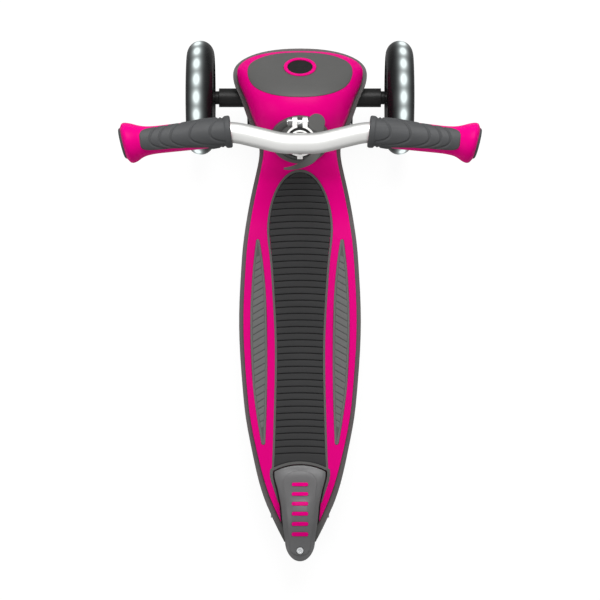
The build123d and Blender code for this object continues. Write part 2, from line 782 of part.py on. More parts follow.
ring_low = clamp_s - clamp_ring_h / 2
ring_high = clamp_s + clamp_ring_h / 2
collar = rod(clamp_ring_d, ring_low, ring_high)
for side in (-1, 1):
    clamp_ear_x = side * (ear_gap + ear_thickness) / 2
    collar += Pos(clamp_ear_x, ear_reach / 2 + 4, clamp_s) * Box(ear_thickness, ear_reach - 8, clamp_ring_h)
collar += Pos(0, -clamp_ring_d / 2 - 0.5, clamp_s) * Box(5, 4, clamp_ring_h)
collar -= rod(lower_tube_d + 0.06, ring_low - 5, ring_high + 5)
collar -= Pos(0, clamp_ring_d / 2 + 4, clamp_s) * Box(ear_gap, 20, clamp_ring_h + 2)
collar -= Pos(0, skewer_reach, clamp_s) * along_x(rod(skewer_d + 0.1, -30, 30))
ear_corners = collar.edges().filter_by(Axis.X).group_by(Axis.Y)[-1]
collar = fillet(ear_corners, 4.0)
save("clamp_collar", on_stem(collar))

ear_outer = ear_gap / 2 + ear_thickness
boss_x = ear_outer + running_gap + boss_d / 2
skewer = along_x(rod(skewer_d, -ear_outer - 5, boss_x + 3.4))
save("clamp_skewer", on_stem(Pos(0, skewer_reach, clamp_s) * skewer))
nut = along_x(rod(9.0, -ear_outer - 4.5, -ear_outer) - rod(skewer_d + 0.04, -40, 40))
save("clamp_nut", on_stem(Pos(0, skewer_reach, clamp_s) * nut))

# Quick-release lever: a cam boss with a blade that curls round the right side to the back
lever_outer = [(21.6, 0.0), (20.0, -9.8), (14.4, -18.8), (3.4, -24.8), (-8.0, -27.0)]
lever_outer = [(boss_x + boss_d / 2, skewer_reach)] + lever_outer
lever_inner = [(-8.0, -23.6), (2.6, -18.4), (9.8, -12.4), (15.4, -4.0), (16.6, 4.0)]
lever_inner = lever_inner + [(boss_x - 3.0, skewer_reach - 4.0)]
tip = (-15.0, -26.6)
outer_edge = Spline(*lever_outer, tip)
inner_edge = Spline((-15.0, -25.0), *lever_inner)
blade = make_face(
    [outer_edge, Line(tip, (-15.0, -25.0)), inner_edge, Line(lever_inner[-1], lever_outer[0])]
)
lever = Pos(0, 0, clamp_s - lever_height / 2) * extrude(blade, lever_height)
lever += Pos(boss_x, skewer_reach, clamp_s) * rod(boss_d, -lever_height / 2, lever_height / 2)
cam_pin_d = 7.0
cam_roof = 2.0
cam_pin_top = lever_height / 2 - cam_roof - seat_gap
cam_hole = rod(cam_pin_d + 2 * pin_gap, -lever_height, cam_pin_top + seat_gap)
cam_hole = Pos(boss_x, skewer_reach, clamp_s) * cam_hole
skewer_room = Box(boss_d, skewer_d + 1.2, skewer_d + 1.2)
skewer_sweep = [
    Pos(boss_x, skewer_reach, clamp_s) * Rot(0, 0, turn) * Pos(-boss_d / 2, 0, 0) * skewer_room
    for turn in (0, -30, -60, -90, -120, -150)
]
lever = lever - cam_hole - skewer_sweep
lever -= Pos(boss_x, skewer_reach, clamp_s) * rod(cam_pin_d + 2.0, -skewer_d / 2 - 0.6, skewer_d / 2 + 0.6)
save("clamp_lever", on_stem(lever))
pin_hole = Pos(boss_x, skewer_reach, clamp_s) * along_x(rod(skewer_d + 0.04, -40, 40))
cam_pin = Pos(boss_x, skewer_reach, clamp_s) * rod(cam_pin_d, -lever_height / 2, cam_pin_top)
save("lever_pin", on_stem(cam_pin - pin_hole))

# T-bar
upright_low = clamp_s - bar_travel - bar_hold
half_path = [(0, -bar_setback), (14.5, -bar_setback), (bar_bend_x, bar_bend_rise), (bar_half, -bar_end_drop)]
bar_points = [(-x, y) for x, y in reversed(half_path[1:])] + half_path[1:]
bar_path = FilletPolyline(*bar_points, radius=62.0)
bar_start = Plane(origin=bar_path @ 0, z_dir=bar_path % 0)
bar_solid = sweep(bar_start * Circle(bar_d / 2), path=bar_path)
bar_bore = sweep(bar_start * Circle(bar_d / 2 - tube_wall), path=bar_path)
bar_clear = sweep(bar_start * Circle(bar_d / 2 + 0.05), path=bar_path)
at_bar = Pos(0, 0, bar_s)
save("handlebar", on_stem(at_bar * (bar_solid - bar_bore)))
upright = tube(upright_d, upright_d - 2 * tube_wall, upright_low, bar_s - 1.0) - at_bar * bar_clear
upright = upright.solids().sort_by(SortBy.VOLUME)[-1]
save("upright_tube", on_stem(upright))
guide_d = lower_inner_d - 2 * pin_gap - 0.1
guide_bore = upright_d - 6
guide = tube(guide_d, upright_d + 0.06, upright_low, upright_low + 18)
guide += tube(guide_d, guide_bore, upright_low - 4, upright_low - 0.05)
guide += tube(upright_d - 2 * tube_wall - 0.06, guide_bore, upright_low - 4, upright_low + 10)
save("guide_plug", on_stem(guide))

# Grips: a pink body with a flared end and a rubber pad on its upper side, closed round the inner end
grip_slope = atan2(bar_bend_rise + bar_end_drop, bar_half - bar_bend_x)
grip_length = (grip_outer_x - grip_inner_x) / cos(grip_slope)
grip_start_y = bar_bend_rise - (grip_inner_x - bar_bend_x) * tan(grip_slope)
grip_axis = (cos(grip_slope), -sin(grip_slope), 0)
grip_plane = Plane(origin=(grip_inner_x, grip_start_y, 0), x_dir=(0, 0, 1), z_dir=grip_axis)
core_r = grip_d / 2 - grip_pad


def turned(points):
    """Solid of revolution about Z through (radius, height) points joined by a smooth outer line."""
    edge = Spline(*points)
    low, high = points[0], points[-1]
    ends = [Line((0, low[1]), low), Line(high, (0, high[1])), Line((0, high[1]), (0, low[1]))]
    return revolve(Plane.XZ * make_face([edge] + ends), Axis.Z)


pad_end = grip_length - 20.0
neck_r = grip_d / 2 - 1.3
flare_point = (grip_flare_d / 2, grip_length - 5)
body = turned([(core_r, 4.0), (core_r, 30.0), (core_r, pad_end - 6), (neck_r, pad_end + 1), flare_point])
end_cap = turned([flare_point, (grip_flare_d / 2 - 0.8, grip_length - 2.6), (9.0, grip_length)])
body = body + end_cap
pad_outside = turned([(grip_d / 2, 0), (grip_d / 2 + 0.5, 24.0), (grip_d / 2 - 0.2, 52.0), (neck_r, pad_end)])
flange = rod(grip_flange_d, 0, 5.0)
pad_core = rod(2 * core_r + 0.1, 4.0 - 0.05, grip_length)
pad_sleeve = (pad_outside + flange) - pad_core
cut_plane = Pos(-grip_d - 4.5, 0, 24.0 + grip_length / 2) * Box(2 * grip_d, 3 * grip_d, grip_length)
pad_sleeve = pad_sleeve - cut_plane
body_fill = pad_outside & cut_plane
body = body + (body_fill - rod(2 * core_r - 0.5, -10, grip_length))
pad_sleeve = pad_sleeve - body
grip_at = grip_plane.location
right_grip = (grip_at * body) - bar_clear
right_pad_piece = (grip_at * pad_sleeve) - bar_clear
right_grip = right_grip.solids().sort_by(SortBy.VOLUME)[-1]
save("right_grip", on_stem(at_bar * right_grip))
save("right_grip_pad", on_stem(at_bar * right_pad_piece))
save("left_grip", mirror_x(on_stem(at_bar * right_grip)))
save("left_grip_pad", mirror_x(on_stem(at_bar * right_pad_piece)))

# Knuckles, axles and the tie rod
hub_half = plate_gap / 2 - running_gap
neck_end = front_wheel_x - 11.5
arm_low = front_z - hub_half
arm_high = front_z - tie_rod_h / 2 - running_gap
knuckle = Pos(kingpin_x, front_y, front_z) * (rod(hub_d, -hub_half, hub_half) + along_x(rod(arm_d, 0, 40.0)))
knuckle += Pos(kingpin_x, front_y, front_z) * along_x(rod(14.0, 39.0, neck_end - kingpin_x - 4.0))
knuckle += Pos(kingpin_x, front_y, front_z) * along_x(rod(11.0, 39.0, neck_end - kingpin_x))
steer_arm = make_face(
    Polyline(
        (kingpin_x - 7, tie_y - 7), (kingpin_x + 7, tie_y - 7), (kingpin_x + 10, tie_y + 6),
        (kingpin_x + 10.5, front_y), (kingpin_x - 10.5, front_y), close=True,
    )
)
knuckle += block(steer_arm, arm_low, arm_high)
knuckle += Pos(kingpin_x, tie_y, 0) * rod(tie_pin_d, arm_low, front_z + tie_rod_h / 2 + 2.5)
knuckle -= Pos(kingpin_x, front_y, 0) * rod(kingpin_d + 2 * pin_gap, 20, 120)
axle_start = kingpin_x + hub_d / 2 + 6.0
knuckle -= Pos(0, front_y, front_z) * along_x(rod(axle_d + 0.04, axle_start, 150))
save("right_knuckle", knuckle)
save("left_knuckle", mirror_x(knuckle))

hub_out = front_wheel_x + 11.5
axle = rod(axle_d, axle_start, hub_out + 2.5) + rod(13.5, hub_out, hub_out + 3.0)
axle = Pos(0, front_y, front_z) * along_x(axle)
save("right_axle", axle)
save("left_axle", mirror_x(axle))
magnet = Pos(front_wheel_x, front_y, front_z) * along_x(tube(17.0, axle_d + 0.06, -4.4, 4.4))
save("right_magnet", magnet)
save("left_magnet", mirror_x(magnet))

pin_arc = (front_y - tie_y) * (1 - cos(radians(lean_limit * steer_ratio)))
tie_rod = Box(2 * kingpin_x + 18, 17, tie_rod_h)
tie_rod = fillet(tie_rod.edges().filter_by(Axis.Z), 8.0)
slot_w = tie_pin_d + 2 * running_gap
pin_slot = SlotOverall(slot_w + 2 * pin_arc + running_gap, slot_w, rotation=90)
for x in (-kingpin_x, kingpin_x):
    tie_rod -= Pos(x, 0, 0) * extrude(pin_slot, 20, both=True)
tie_rod -= rod(ball_d + 2 * running_gap, -20, 20)
save("tie_rod", Pos(0, tie_y, front_z) * tie_rod)

# Front wheels
light_r = 43.0
tyre_inner = light_r + 2.2


def tyre_profile(outer_r, inner_r, width):
    """Section of a tyre as (radius, x): upright sides that round into the tread."""
    edge = [(inner_r + d, x) for x, d in both_sides(rounded(width / 2, outer_r - inner_r, 2.0, 6))]
    return make_face([Spline(*edge), Line(edge[-1], edge[0])])


def round_x(face):
    """Turn an (radius, x) profile about the X axis."""
    return along_x(revolve(Plane.XZ * face, Axis.Z))


bead = 9.0
front_tyre = round_x(tyre_profile(front_wheel_d / 2, tyre_inner, front_wheel_w))
front_tyre -= along_x(rod(2 * (tyre_inner + 2.8), -bead / 2, bead / 2))
light_ring = along_x(tube(2 * (tyre_inner - 0.15), 2 * (light_r + 0.15), -9, 9))
light = Pos(0, 0, tyre_inner + 1.0) * Box(6.0, 4.6, 2.8)
lights = [Rot(i * 360 / light_count, 0, 0) * light for i in range(light_count)]
light_ring = light_ring + lights
core = along_x(tube(2 * light_r, 2 * light_r - 8, -12, 12) + tube(30, bearing_d - 2, -11.5, 11.5))
spoke = Pos(0, 0, (light_r - 2 + 12) / 2) * Box(9, 13, light_r - 2 - 12)
core = core + [Rot(i * 60, 0, 0) * spoke for i in range(6)]
core -= along_x(rod(bearing_d - 2, -30, 30))
for side in (-1, 1):
    core -= Pos(side * 8.05, 0, 0) * along_x(rod(bearing_d + 0.04, -3.6, 3.6))
bearing = along_x(tube(bearing_d, axle_d + 2 * pin_gap, -bearing_w / 2, bearing_w / 2))
wheel_at = Pos(front_wheel_x, front_y, front_z)
for side, turn in (("right", lambda s: s), ("left", mirror_x)):
    save(f"{side}_tyre", turn(wheel_at * front_tyre))
    save(f"{side}_core", turn(wheel_at * core))
    save(f"{side}_light_ring", turn(wheel_at * light_ring))
    save(f"{side}_bearings", *[turn(wheel_at * Pos(s * 8.0, 0, 0) * bearing) for s in (-1, 1)])

# Rear wheel and its axle
rear_at = Pos(0, rear_y, rear_z)
rear_inner = 28.0
rear_tyre = round_x(tyre_profile(rear_wheel_d / 2, rear_inner, rear_wheel_w))
rear_core = along_x(tube(2 * rear_inner - 0.2, 2 * rear_inner - 8, -9.5, 9.5))
rear_core += along_x(tube(bearing_d + 7, bearing_d - 2, -11, 11))
rear_core += along_x(tube(2 * rear_inner - 6, bearing_d, -3.5, 3.5))
for side in (-1, 1):
    rear_core -= Pos(side * 7.55, 0, 0) * along_x(rod(bearing_d + 0.04, -3.6, 3.6))
save("rear_tyre", rear_at * rear_tyre)
save("rear_core", rear_at * rear_core)
save("rear_bearings", *[rear_at * Pos(s * 7.5, 0, 0) * bearing for s in (-1, 1)])
rear_axle = rod(axle_d, -axle_half - 2, axle_half + 2)
spacer_middle = (11.1 + slot_half) / 2
spacer_half = (slot_half - 11.2) / 2
for side in (-1, 1):
    rear_axle += Pos(0, 0, side * (axle_half + 1.5)) * rod(axle_head_d, -1.5, 1.5)
    rear_axle += Pos(0, 0, side * spacer_middle) * rod(11.5, -spacer_half, spacer_half)
save("rear_axle", rear_at * along_x(rear_axle))

# Brake: hinged fender with a raised back, pink grip bars and a steel plate over the tyre
fender_top = smooth_curve(
    [
        (rear_y - 60.0, 62.0),
        (rear_y - 53.0, 69.0),
        (rear_y - 42.0, 74.5),
        (rear_y - 30.0, 80.5),
        (rear_y - 16.0, 87.5),
        (rear_y - 4.0, 89.5),
        (rear_y + 8.0, 87.5),
        (rear_y + 20.0, 80.5),
        (rear_y + 33.0, 72.0),
        (rear_y + 50.0, 65.5),
    ]
)


def fender_body(drop):
    sections = []
    for y in spread(rear_y - 56.0, rear_y + 49.0, 14):
        w = fender_half(max(y, fender_taper_y)) + 1.5
        slope = atan2(fender_top(y + 1) - fender_top(y - 1), 2)
        crown = fender_top(y) - drop / cos(slope)
        edge = fender_edge_z + 1.5 - drop
        quarter = rounded(w, max(crown - edge, 0.8), 2.8, 5)
        points = [(x, y, edge + h) for x, h in both_sides(quarter)]
        low_left = (points[-1][0], y, 40.0)
        low_right = (points[0][0], y, 40.0)
        sides = [Line(points[-1], low_left), Line(low_left, low_right), Line(low_right, points[0])]
        sections.append(make_face([Spline(*points)] + sides))
    return loft(sections)


fender = block(fender_plan(0), fender_edge_z, 120) & fender_body(0)
fender -= block(fender_plan(-fender_wall), 30, 120) & fender_body(fender_wall)
back_front = both_sides([(x, rear_y + 26.0 + d) for x, d in rounded(17.5, 14.5, 2.3, 5)])
back_rear = both_sides([(x, rear_y - 38.0 - d) for x, d in rounded(10.6, 9.0, 2.3, 4)])
back_sides = [Line(back_front[i], back_rear[i]) for i in (0, -1)]
back_plan = make_face([Spline(*back_front), Spline(*back_rear)] + back_sides)
fender += (block(back_plan, fender_edge_z, 120) & fender_body(-1.0)) - fender_body(1.0)
barrel = Pos(0, hinge_y, hinge_z) * along_x(rod(barrel_d, -barrel_half, barrel_half))
neck = Pos(0, hinge_y + 0.5, (hinge_z + 66) / 2) * Box(2 * barrel_half, 7, 66 - hinge_z)
fender += (barrel + neck) & block(fender_plan(-0.5), 30, fender_top(hinge_y) - 1.0)
fender -= Pos(0, hinge_y, hinge_z) * along_x(rod(hinge_pin_d + 2 * pin_gap, -30, 30))
fender -= Pos(0, hinge_y, hinge_z) * along_x(rod(spring_d + 4.0, -spring_half - 1.5, spring_half + 1.5))
plate_r = rear_wheel_d / 2 + brake_gap
plate_half = 9.0
plate_arc = tube(2 * (plate_r + brake_plate_t), 2 * plate_r, -plate_half, plate_half)
tab_z = 68.8
arc_front_y = rear_y + 15.0
arc_end_y = rear_y - sqrt(plate_r**2 - (tab_z - rear_z) ** 2)
arc_limit = Box(40, 2 * (arc_front_y - rear_y + 40), 60)
plate_arc = (Pos(0, rear_y, rear_z) * along_x(plate_arc)) & (Pos(0, rear_y - 40, tab_z + 30) * arc_limit)
tab_start_y = brake_bolt_y - 5.0
tab = Box(2 * plate_half, arc_end_y - tab_start_y, brake_plate_t)
brake_plate = plate_arc + Pos(0, (arc_end_y + tab_start_y) / 2, tab_z + brake_plate_t / 2) * tab
bolt_top_z = fender_top(brake_bolt_y) + 1.0
plate_core = Pos(0, rear_y, rear_z) * along_x(rod(2 * (plate_r + brake_plate_t), -60, 60))
for y in (rear_y + 6.0, rear_y - 20.0):
    post = Pos(0, y, 84) * Box(12, 5, 30)
    fender += post & (fender_body(1.0) - plate_core)
boss = Pos(0, brake_bolt_y, 0) * rod(9, tab_z + brake_plate_t, bolt_top_z - 1.5)
fender += boss & fender_body(0.5)
bolt_hole = Pos(0, brake_bolt_y, 0) * rod(4.2, 40, 120)
tyre_half = rear_wheel_w / 2 + running_gap
wheel_room = Pos(0, rear_y, rear_z) * along_x(rod(2 * plate_r, -tyre_half, tyre_half))
fender -= wheel_room & block(fender_plan(0), fender_edge_z, 120)
fender -= brake_plate
fender -= bolt_hole
fender -= Pos(0, brake_bolt_y, bolt_top_z - 1.6) * rod(bolt_head_d + 0.8, 0, 20)
brake_plate -= bolt_hole
bolt = rod(4, tab_z - 2.5, bolt_top_z - 1.0) + rod(8, tab_z - 2.5, tab_z)
bolt += rod(bolt_head_d, bolt_top_z - 1.6, bolt_top_z + 0.6)
bolt -= Pos(0, 0, bolt_top_z - 1.0) * extrude(RegularPolygon(bolt_socket / 2, 6, major_radius=False), 5)
save("brake_bolt", Pos(0, brake_bolt_y, 0) * bolt)
save("brake_plate", brake_plate)
bars = []
for y in spread(rear_y + bar_reach, rear_y - bar_reach, bar_count):
    bars.append(Pos(0, y, 0) * RectangleRounded(bar_length, bar_width, bar_width / 2 - 0.1))
inlays = [(block(bar, 60, 120) & fender_body(-1.5)) - fender_body(-0.1) for bar in bars]
for bar in bars:
    fender -= block(offset(bar, 0.1), 60, 120) - fender_body(-0.1)
save("brake_inlays", *inlays)
save("brake_fender", fender)
spring_coil = Pos(0, 0, -spring_half) * coil((spring_d - spring_wire) / 2, spring_wire, 2 * spring_half, 5)
save("brake_spring", Pos(0, hinge_y, hinge_z) * along_x(spring_coil))
save("brake_hinge_pin", Pos(0, hinge_y, hinge_z) * along_x(rod(hinge_pin_d, -23.5, 23.5)))

# Lock button in a cup with a coil under it
cup_floor = -13.0
bezel = rod(bezel_d, cup_floor - 2, 1.2) - rod(button_d, cup_floor, 10) - rod(9.0, -40, 10)
save("button_bezel", at_button(bezel))
button = rod(button_d - 2 * running_gap, -6.0, 0.6) - Pos(0, 0, 30.3) * Sphere(30.2)
button += rod(8.0, -26.0, -5.0)
save("lock_button", at_button(button))


save("button_spring", at_button(Pos(0, 0, cup_floor + 0.7) * coil(8.5, 1.0, -6.0 - cup_floor - 1.4, 3.5)))
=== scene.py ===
import json
from math import asin, atan2, cos, degrees, exp, pi, radians, sin, sqrt, tan

import bmesh
import bpy
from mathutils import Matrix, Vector


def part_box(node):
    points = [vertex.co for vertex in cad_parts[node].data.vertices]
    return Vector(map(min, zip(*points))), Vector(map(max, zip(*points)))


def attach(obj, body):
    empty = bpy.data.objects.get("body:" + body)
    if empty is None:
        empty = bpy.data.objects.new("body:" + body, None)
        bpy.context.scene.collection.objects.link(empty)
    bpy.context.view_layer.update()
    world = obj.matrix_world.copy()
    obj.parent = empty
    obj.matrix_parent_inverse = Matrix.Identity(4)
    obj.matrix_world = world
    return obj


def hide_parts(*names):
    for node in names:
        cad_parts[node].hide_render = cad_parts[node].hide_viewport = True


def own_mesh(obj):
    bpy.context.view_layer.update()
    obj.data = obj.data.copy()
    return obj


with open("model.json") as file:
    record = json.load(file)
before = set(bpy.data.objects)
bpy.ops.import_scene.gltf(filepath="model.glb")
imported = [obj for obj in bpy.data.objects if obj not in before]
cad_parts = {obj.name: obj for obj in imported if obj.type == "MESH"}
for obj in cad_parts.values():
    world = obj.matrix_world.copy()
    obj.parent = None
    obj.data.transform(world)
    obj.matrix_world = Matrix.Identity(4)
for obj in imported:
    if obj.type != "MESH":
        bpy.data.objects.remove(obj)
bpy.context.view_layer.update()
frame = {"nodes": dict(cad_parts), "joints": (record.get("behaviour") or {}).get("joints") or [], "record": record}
joints = {joint["name"]: joint for joint in frame["joints"]}

# Shapes are worked out in millimetres and made in metres; points closer than weld, in metres, become one.
MM = 0.001
weld = 1e-7
sides = (("left", -1), ("right", 1))

# Places read from the frame
front_y = joints["right_steer"]["pos_m"][1] / MM
front_z = joints["right_steer"]["pos_m"][2] / MM
rear_y = joints["rear_spin"]["pos_m"][1] / MM
rear_z = joints["rear_spin"]["pos_m"][2] / MM
front_wheel_x = joints["right_spin"]["pos_m"][0] / MM
stem_axis = Vector(joints["bar_height"]["axis"])
lean_point = Vector(joints["stem_lean"]["pos_m"]) / MM

# Side profile of the deck under the mat, and the gap round what is let into it
deck_top_z = 62.0
bend_start_y = front_y - 137.5
bend_radius = 68.0
riser_angle = 49.0
seam = 0.15

# Wheels
front_wheel_r = 60.5
front_wheel_w = 29.0
rear_wheel_r = 40.0
rear_wheel_w = 24.0
front_inner_r = 45.2
rear_inner_r = 28.0
tyre_power = 2.0
tyre_steps = 14
tyre_turns = 144
bead_inset = 1.2
bead_drop = 0.1

# Lamps in the front tyres; a layer of the glow is (narrowing along, narrowing across, strength)
light_count = 20
lamp_pitch = 2 * pi * front_wheel_r / light_count
lamp_length = 6.8
lamp_width = 3.6
lamp_shift = 2.8
lamp_phase = 0.89
lamp_core = (1.35, 1.3, 1.6)
lamp_halo = (0.6, 0.75, 0.2)
lamp_haze = (0.0, 0.7, 0.3)
lamp_colour = (0.9, 1.0, 1.0, 1.0)

# Surface detail shared by the finishes
tone_scale = 22.0
scuff_turns = (0.5, -0.9)
scuff_scale = (12.0, 260.0, 60.0)
scuff_start = 0.58
scuff_contrast = 6.0
roughness_spread = 0.12
grain_strength = 0.5
edge_radius = 0.0006
edge_samples = 4


# Shape helpers
def smooth_step(t):
    t = min(max(t, 0.0), 1.0)
    return t * t * (3.0 - 2.0 * t)


def spread(first, last, count):
    """Evenly spaced values from first to last."""
    return [first + (last - first) * i / (count - 1) for i in range(count)]


def full_turn(count):
    """Evenly spaced angles once round a circle."""
    return [i * 2 * pi / count for i in range(count)]


def smooth_curve(points):
    """A curve y -> value through rising points that never overshoots them."""
    ys = [p[0] for p in points]
    vs = [p[1] for p in points]
    steps = [(vs[i + 1] - vs[i]) / (ys[i + 1] - ys[i]) for i in range(len(ys) - 1)]
    slopes = [steps[0]]
    for before, after in zip(steps, steps[1:]):
        slopes.append(0.0 if before * after <= 0 else 2 * before * after / (before + after))
    slopes.append(steps[-1])

    def value(y):
        i = 0
        while i < len(ys) - 2 and y > ys[i + 1]:
            i += 1
        h = ys[i + 1] - ys[i]
        t = min(max((y - ys[i]) / h, 0.0), 1.0)
        return (
            vs[i] * (1 + 2 * t) * (1 - t) ** 2
            + vs[i + 1] * t * t * (3 - 2 * t)
            + h * t * (1 - t) * (slopes[i] * (1 - t) - slopes[i + 1] * t)
        )

    return value


def rounded(reach, depth, power, count):
    """Points of a quarter of a full-bodied oval, from (reach, 0) to (0, depth)."""
    points = []
    for i in range(count):
        angle = i * pi / 2 / count
        points.append((reach * cos(angle) ** (2 / power), depth * sin(angle) ** (2 / power)))
    return points + [(0.0, depth)]


# Node helpers
def node(tree, kind, **values):
    """A node with its properties and its named inputs set."""
    made = tree.nodes.new(kind)
    for key, value in values.items():
        if hasattr(made, key):
            setattr(made, key, value)
        else:
            made.inputs[key.replace("_", " ")].default_value = value
    return made


def join(tree, source, target):
    tree.links.new(source, target)


def maths(tree, operation, first, second=None, third=None):
    """A Math node on sockets or numbers; returns its output."""
    made = tree.nodes.new("ShaderNodeMath")
    made.operation = operation
    for socket, value in zip(made.inputs, (first, second, third)):
        if value is None:
            continue
        if isinstance(value, (int, float)):
            socket.default_value = value
        else:
            tree.links.new(value, socket)
    return made.outputs[0]


# Shader groups shared by the finishes
def grain_group():
    """Fine moulded grain: a height for bump and a slow change of tone."""
    group = bpy.data.node_groups.new("moulded grain", "ShaderNodeTree")
    group.interface.new_socket("Grain Scale", in_out="INPUT", socket_type="NodeSocketFloat")
    group.interface.new_socket("Height", in_out="OUTPUT", socket_type="NodeSocketFloat")
    group.interface.new_socket("Tone", in_out="OUTPUT", socket_type="NodeSocketFloat")
    inputs = group.nodes.new("NodeGroupInput")
    outputs = group.nodes.new("NodeGroupOutput")
    spot = group.nodes.new("ShaderNodeTexCoord")
    fine = node(group, "ShaderNodeTexNoise", Detail=3.0, Roughness=0.6)
    join(group, spot.outputs["Object"], fine.inputs["Vector"])
    join(group, inputs.outputs["Grain Scale"], fine.inputs["Scale"])
    slow = node(group, "ShaderNodeTexNoise", Scale=tone_scale, Detail=2.0)
    join(group, spot.outputs["Object"], slow.inputs["Vector"])
    join(group, fine.outputs["Fac"], outputs.inputs["Height"])
    join(group, slow.outputs["Fac"], outputs.inputs["Tone"])
    return group


def scuff_group():
    """Faint handling marks: short streaks in two directions, as a mask from 0 to 1."""
    group = bpy.data.node_groups.new("faint scuffs", "ShaderNodeTree")
    group.interface.new_socket("Amount", in_out="INPUT", socket_type="NodeSocketFloat")
    group.interface.new_socket("Mask", in_out="OUTPUT", socket_type="NodeSocketFloat")
    inputs = group.nodes.new("NodeGroupInput")
    outputs = group.nodes.new("NodeGroupOutput")
    spot = group.nodes.new("ShaderNodeTexCoord")
    layers = []
    for turn in scuff_turns:
        laid = group.nodes.new("ShaderNodeMapping")
        laid.inputs["Rotation"].default_value = (0.0, 0.0, turn)
        laid.inputs["Scale"].default_value = scuff_scale
        join(group, spot.outputs["Object"], laid.inputs["Vector"])
        streaks = node(group, "ShaderNodeTexNoise", Scale=1.0, Detail=4.0, Roughness=0.65)
        join(group, laid.outputs["Vector"], streaks.inputs["Vector"])
        above = maths(group, "SUBTRACT", streaks.outputs["Fac"], scuff_start)
        layers.append(maths(group, "MULTIPLY", above, scuff_contrast))
    both = maths(group, "MAXIMUM", layers[0], layers[1])
    clipped = maths(group, "MINIMUM", maths(group, "MAXIMUM", both, 0.0), 1.0)
    join(group, maths(group, "MULTIPLY", clipped, inputs.outputs["Amount"]), outputs.inputs["Mask"])
    return group


moulded_grain = grain_group()
faint_scuffs = scuff_group()


# Finishes
def finish(name, colour, roughness, grain_scale, grain_depth, tone=0.08, scuffs=0.1, **shader):
    """A material whose colour, roughness and bump vary over the surface; shader sets plain values."""
    made = bpy.data.materials.new(name)
    made.use_nodes = True
    tree = made.node_tree
    surface = tree.nodes["Principled BSDF"]
    for key, value in shader.items():
        surface.inputs[key.replace("_", " ")].default_value = value
    grain = tree.nodes.new("ShaderNodeGroup")
    grain.node_tree = moulded_grain
    grain.inputs["Grain Scale"].default_value = grain_scale
    marks = tree.nodes.new("ShaderNodeGroup")
    marks.node_tree = faint_scuffs
    marks.inputs["Amount"].default_value = scuffs
    shade = node(tree, "ShaderNodeMix", data_type="RGBA")
    shade.inputs["A"].default_value = (*[c * (1 - tone) for c in colour], 1.0)
    shade.inputs["B"].default_value = (*[min(c * (1 + tone), 1.0) for c in colour], 1.0)
    join(tree, grain.outputs["Tone"], shade.inputs["Factor"])
    join(tree, shade.outputs["Result"], surface.inputs["Base Color"])
    about_zero = maths(tree, "SUBTRACT", grain.outputs["Height"], 0.5)
    varied = maths(tree, "MULTIPLY", about_zero, roughness_spread)
    worn = maths(tree, "ADD", maths(tree, "ADD", varied, marks.outputs["Mask"]), roughness)
    join(tree, worn, surface.inputs["Roughness"])
    soft_edge = tree.nodes.new("ShaderNodeBevel")
    soft_edge.samples = edge_samples
    soft_edge.inputs["Radius"].default_value = edge_radius
    bump = node(tree, "ShaderNodeBump", Strength=grain_strength, Distance=grain_depth)
    join(tree, grain.outputs["Height"], bump.inputs["Height"])
    join(tree, soft_edge.outputs["Normal"], bump.inputs["Normal"])
    join(tree, bump.outputs["Normal"], surface.inputs["Normal"])
    return made


pink = finish(
    "pink moulding", (0.855, 0.0, 0.237), roughness=0.34, grain_scale=900.0, grain_depth=0.00003,
    tone=0.04, scuffs=0.06, Specular_IOR_Level=0.04,
)
grey = finish(
    "grey moulding", (0.106, 0.106, 0.103), roughness=0.48, grain_scale=1500.0, grain_depth=0.00008,
    Specular_IOR_Level=0.3,
)
mat_rubber = finish(
    "black mat rubber", (0.038, 0.038, 0.039), roughness=0.66, grain_scale=1300.0, grain_depth=0.00012,
    tone=0.15, Specular_IOR_Level=0.2,
)
# A darker copy of the mat rubber: painted shade for the grooves between the mat's ribs.
mat_groove_painted_shade = finish(
    "mat rubber with painted groove shade", (0.012, 0.012, 0.012), roughness=0.8, grain_scale=1300.0, grain_depth=0.00012,
    Specular_IOR_Level=0.1,
)
pad_rubber = finish(
    "grey pad rubber", (0.158, 0.158, 0.155), roughness=0.6, grain_scale=1300.0, grain_depth=0.0001,
    Specular_IOR_Level=0.25,
)
# A darker copy of the pad rubber: painted shade for the level floor between the side pads' ribs.
pad_floor_painted_shade = finish(
    "pad rubber with painted groove shade", (0.106, 0.106, 0.103), roughness=0.7, grain_scale=1300.0, grain_depth=0.0001,
    Specular_IOR_Level=0.2,
)
grip_rubber = finish(
    "soft grip rubber", (0.055, 0.057, 0.06), roughness=0.6, grain_scale=1400.0, grain_depth=0.00008,
)
black = finish(
    "black moulding", (0.009, 0.009, 0.009), roughness=0.42, grain_scale=1400.0, grain_depth=0.00008,
    tone=0.2, Specular_IOR_Level=0.25,
)
powder_coat = finish(
    "black powder coat", (0.012, 0.012, 0.013), roughness=0.45, grain_scale=700.0, grain_depth=0.00012,
    tone=0.2, Specular_IOR_Level=0.3,
)
aluminium = finish(
    "satin aluminium", (0.84, 0.84, 0.825), roughness=0.45, grain_scale=2200.0, grain_depth=0.00001,
    tone=0.02, scuffs=0.04, Metallic=1.0,
)
zinc = finish(
    "bright zinc", (0.62, 0.63, 0.64), roughness=0.26, grain_scale=1800.0, grain_depth=0.00002,
    Metallic=1.0,
)
bronze = finish(
    "sintered bronze", (0.42, 0.25, 0.1), roughness=0.4, grain_scale=2500.0, grain_depth=0.00004,
    tone=0.1, Metallic=1.0,
)
dark_tyre = finish(
    "black tyre", (0.022, 0.022, 0.023), roughness=0.4, grain_scale=900.0, grain_depth=0.00004,
    tone=0.15,
)
satin_grey = finish(
    "satin grey moulding", (0.128, 0.128, 0.13), roughness=0.38, grain_scale=1500.0, grain_depth=0.00006,
    Specular_IOR_Level=0.5,
)
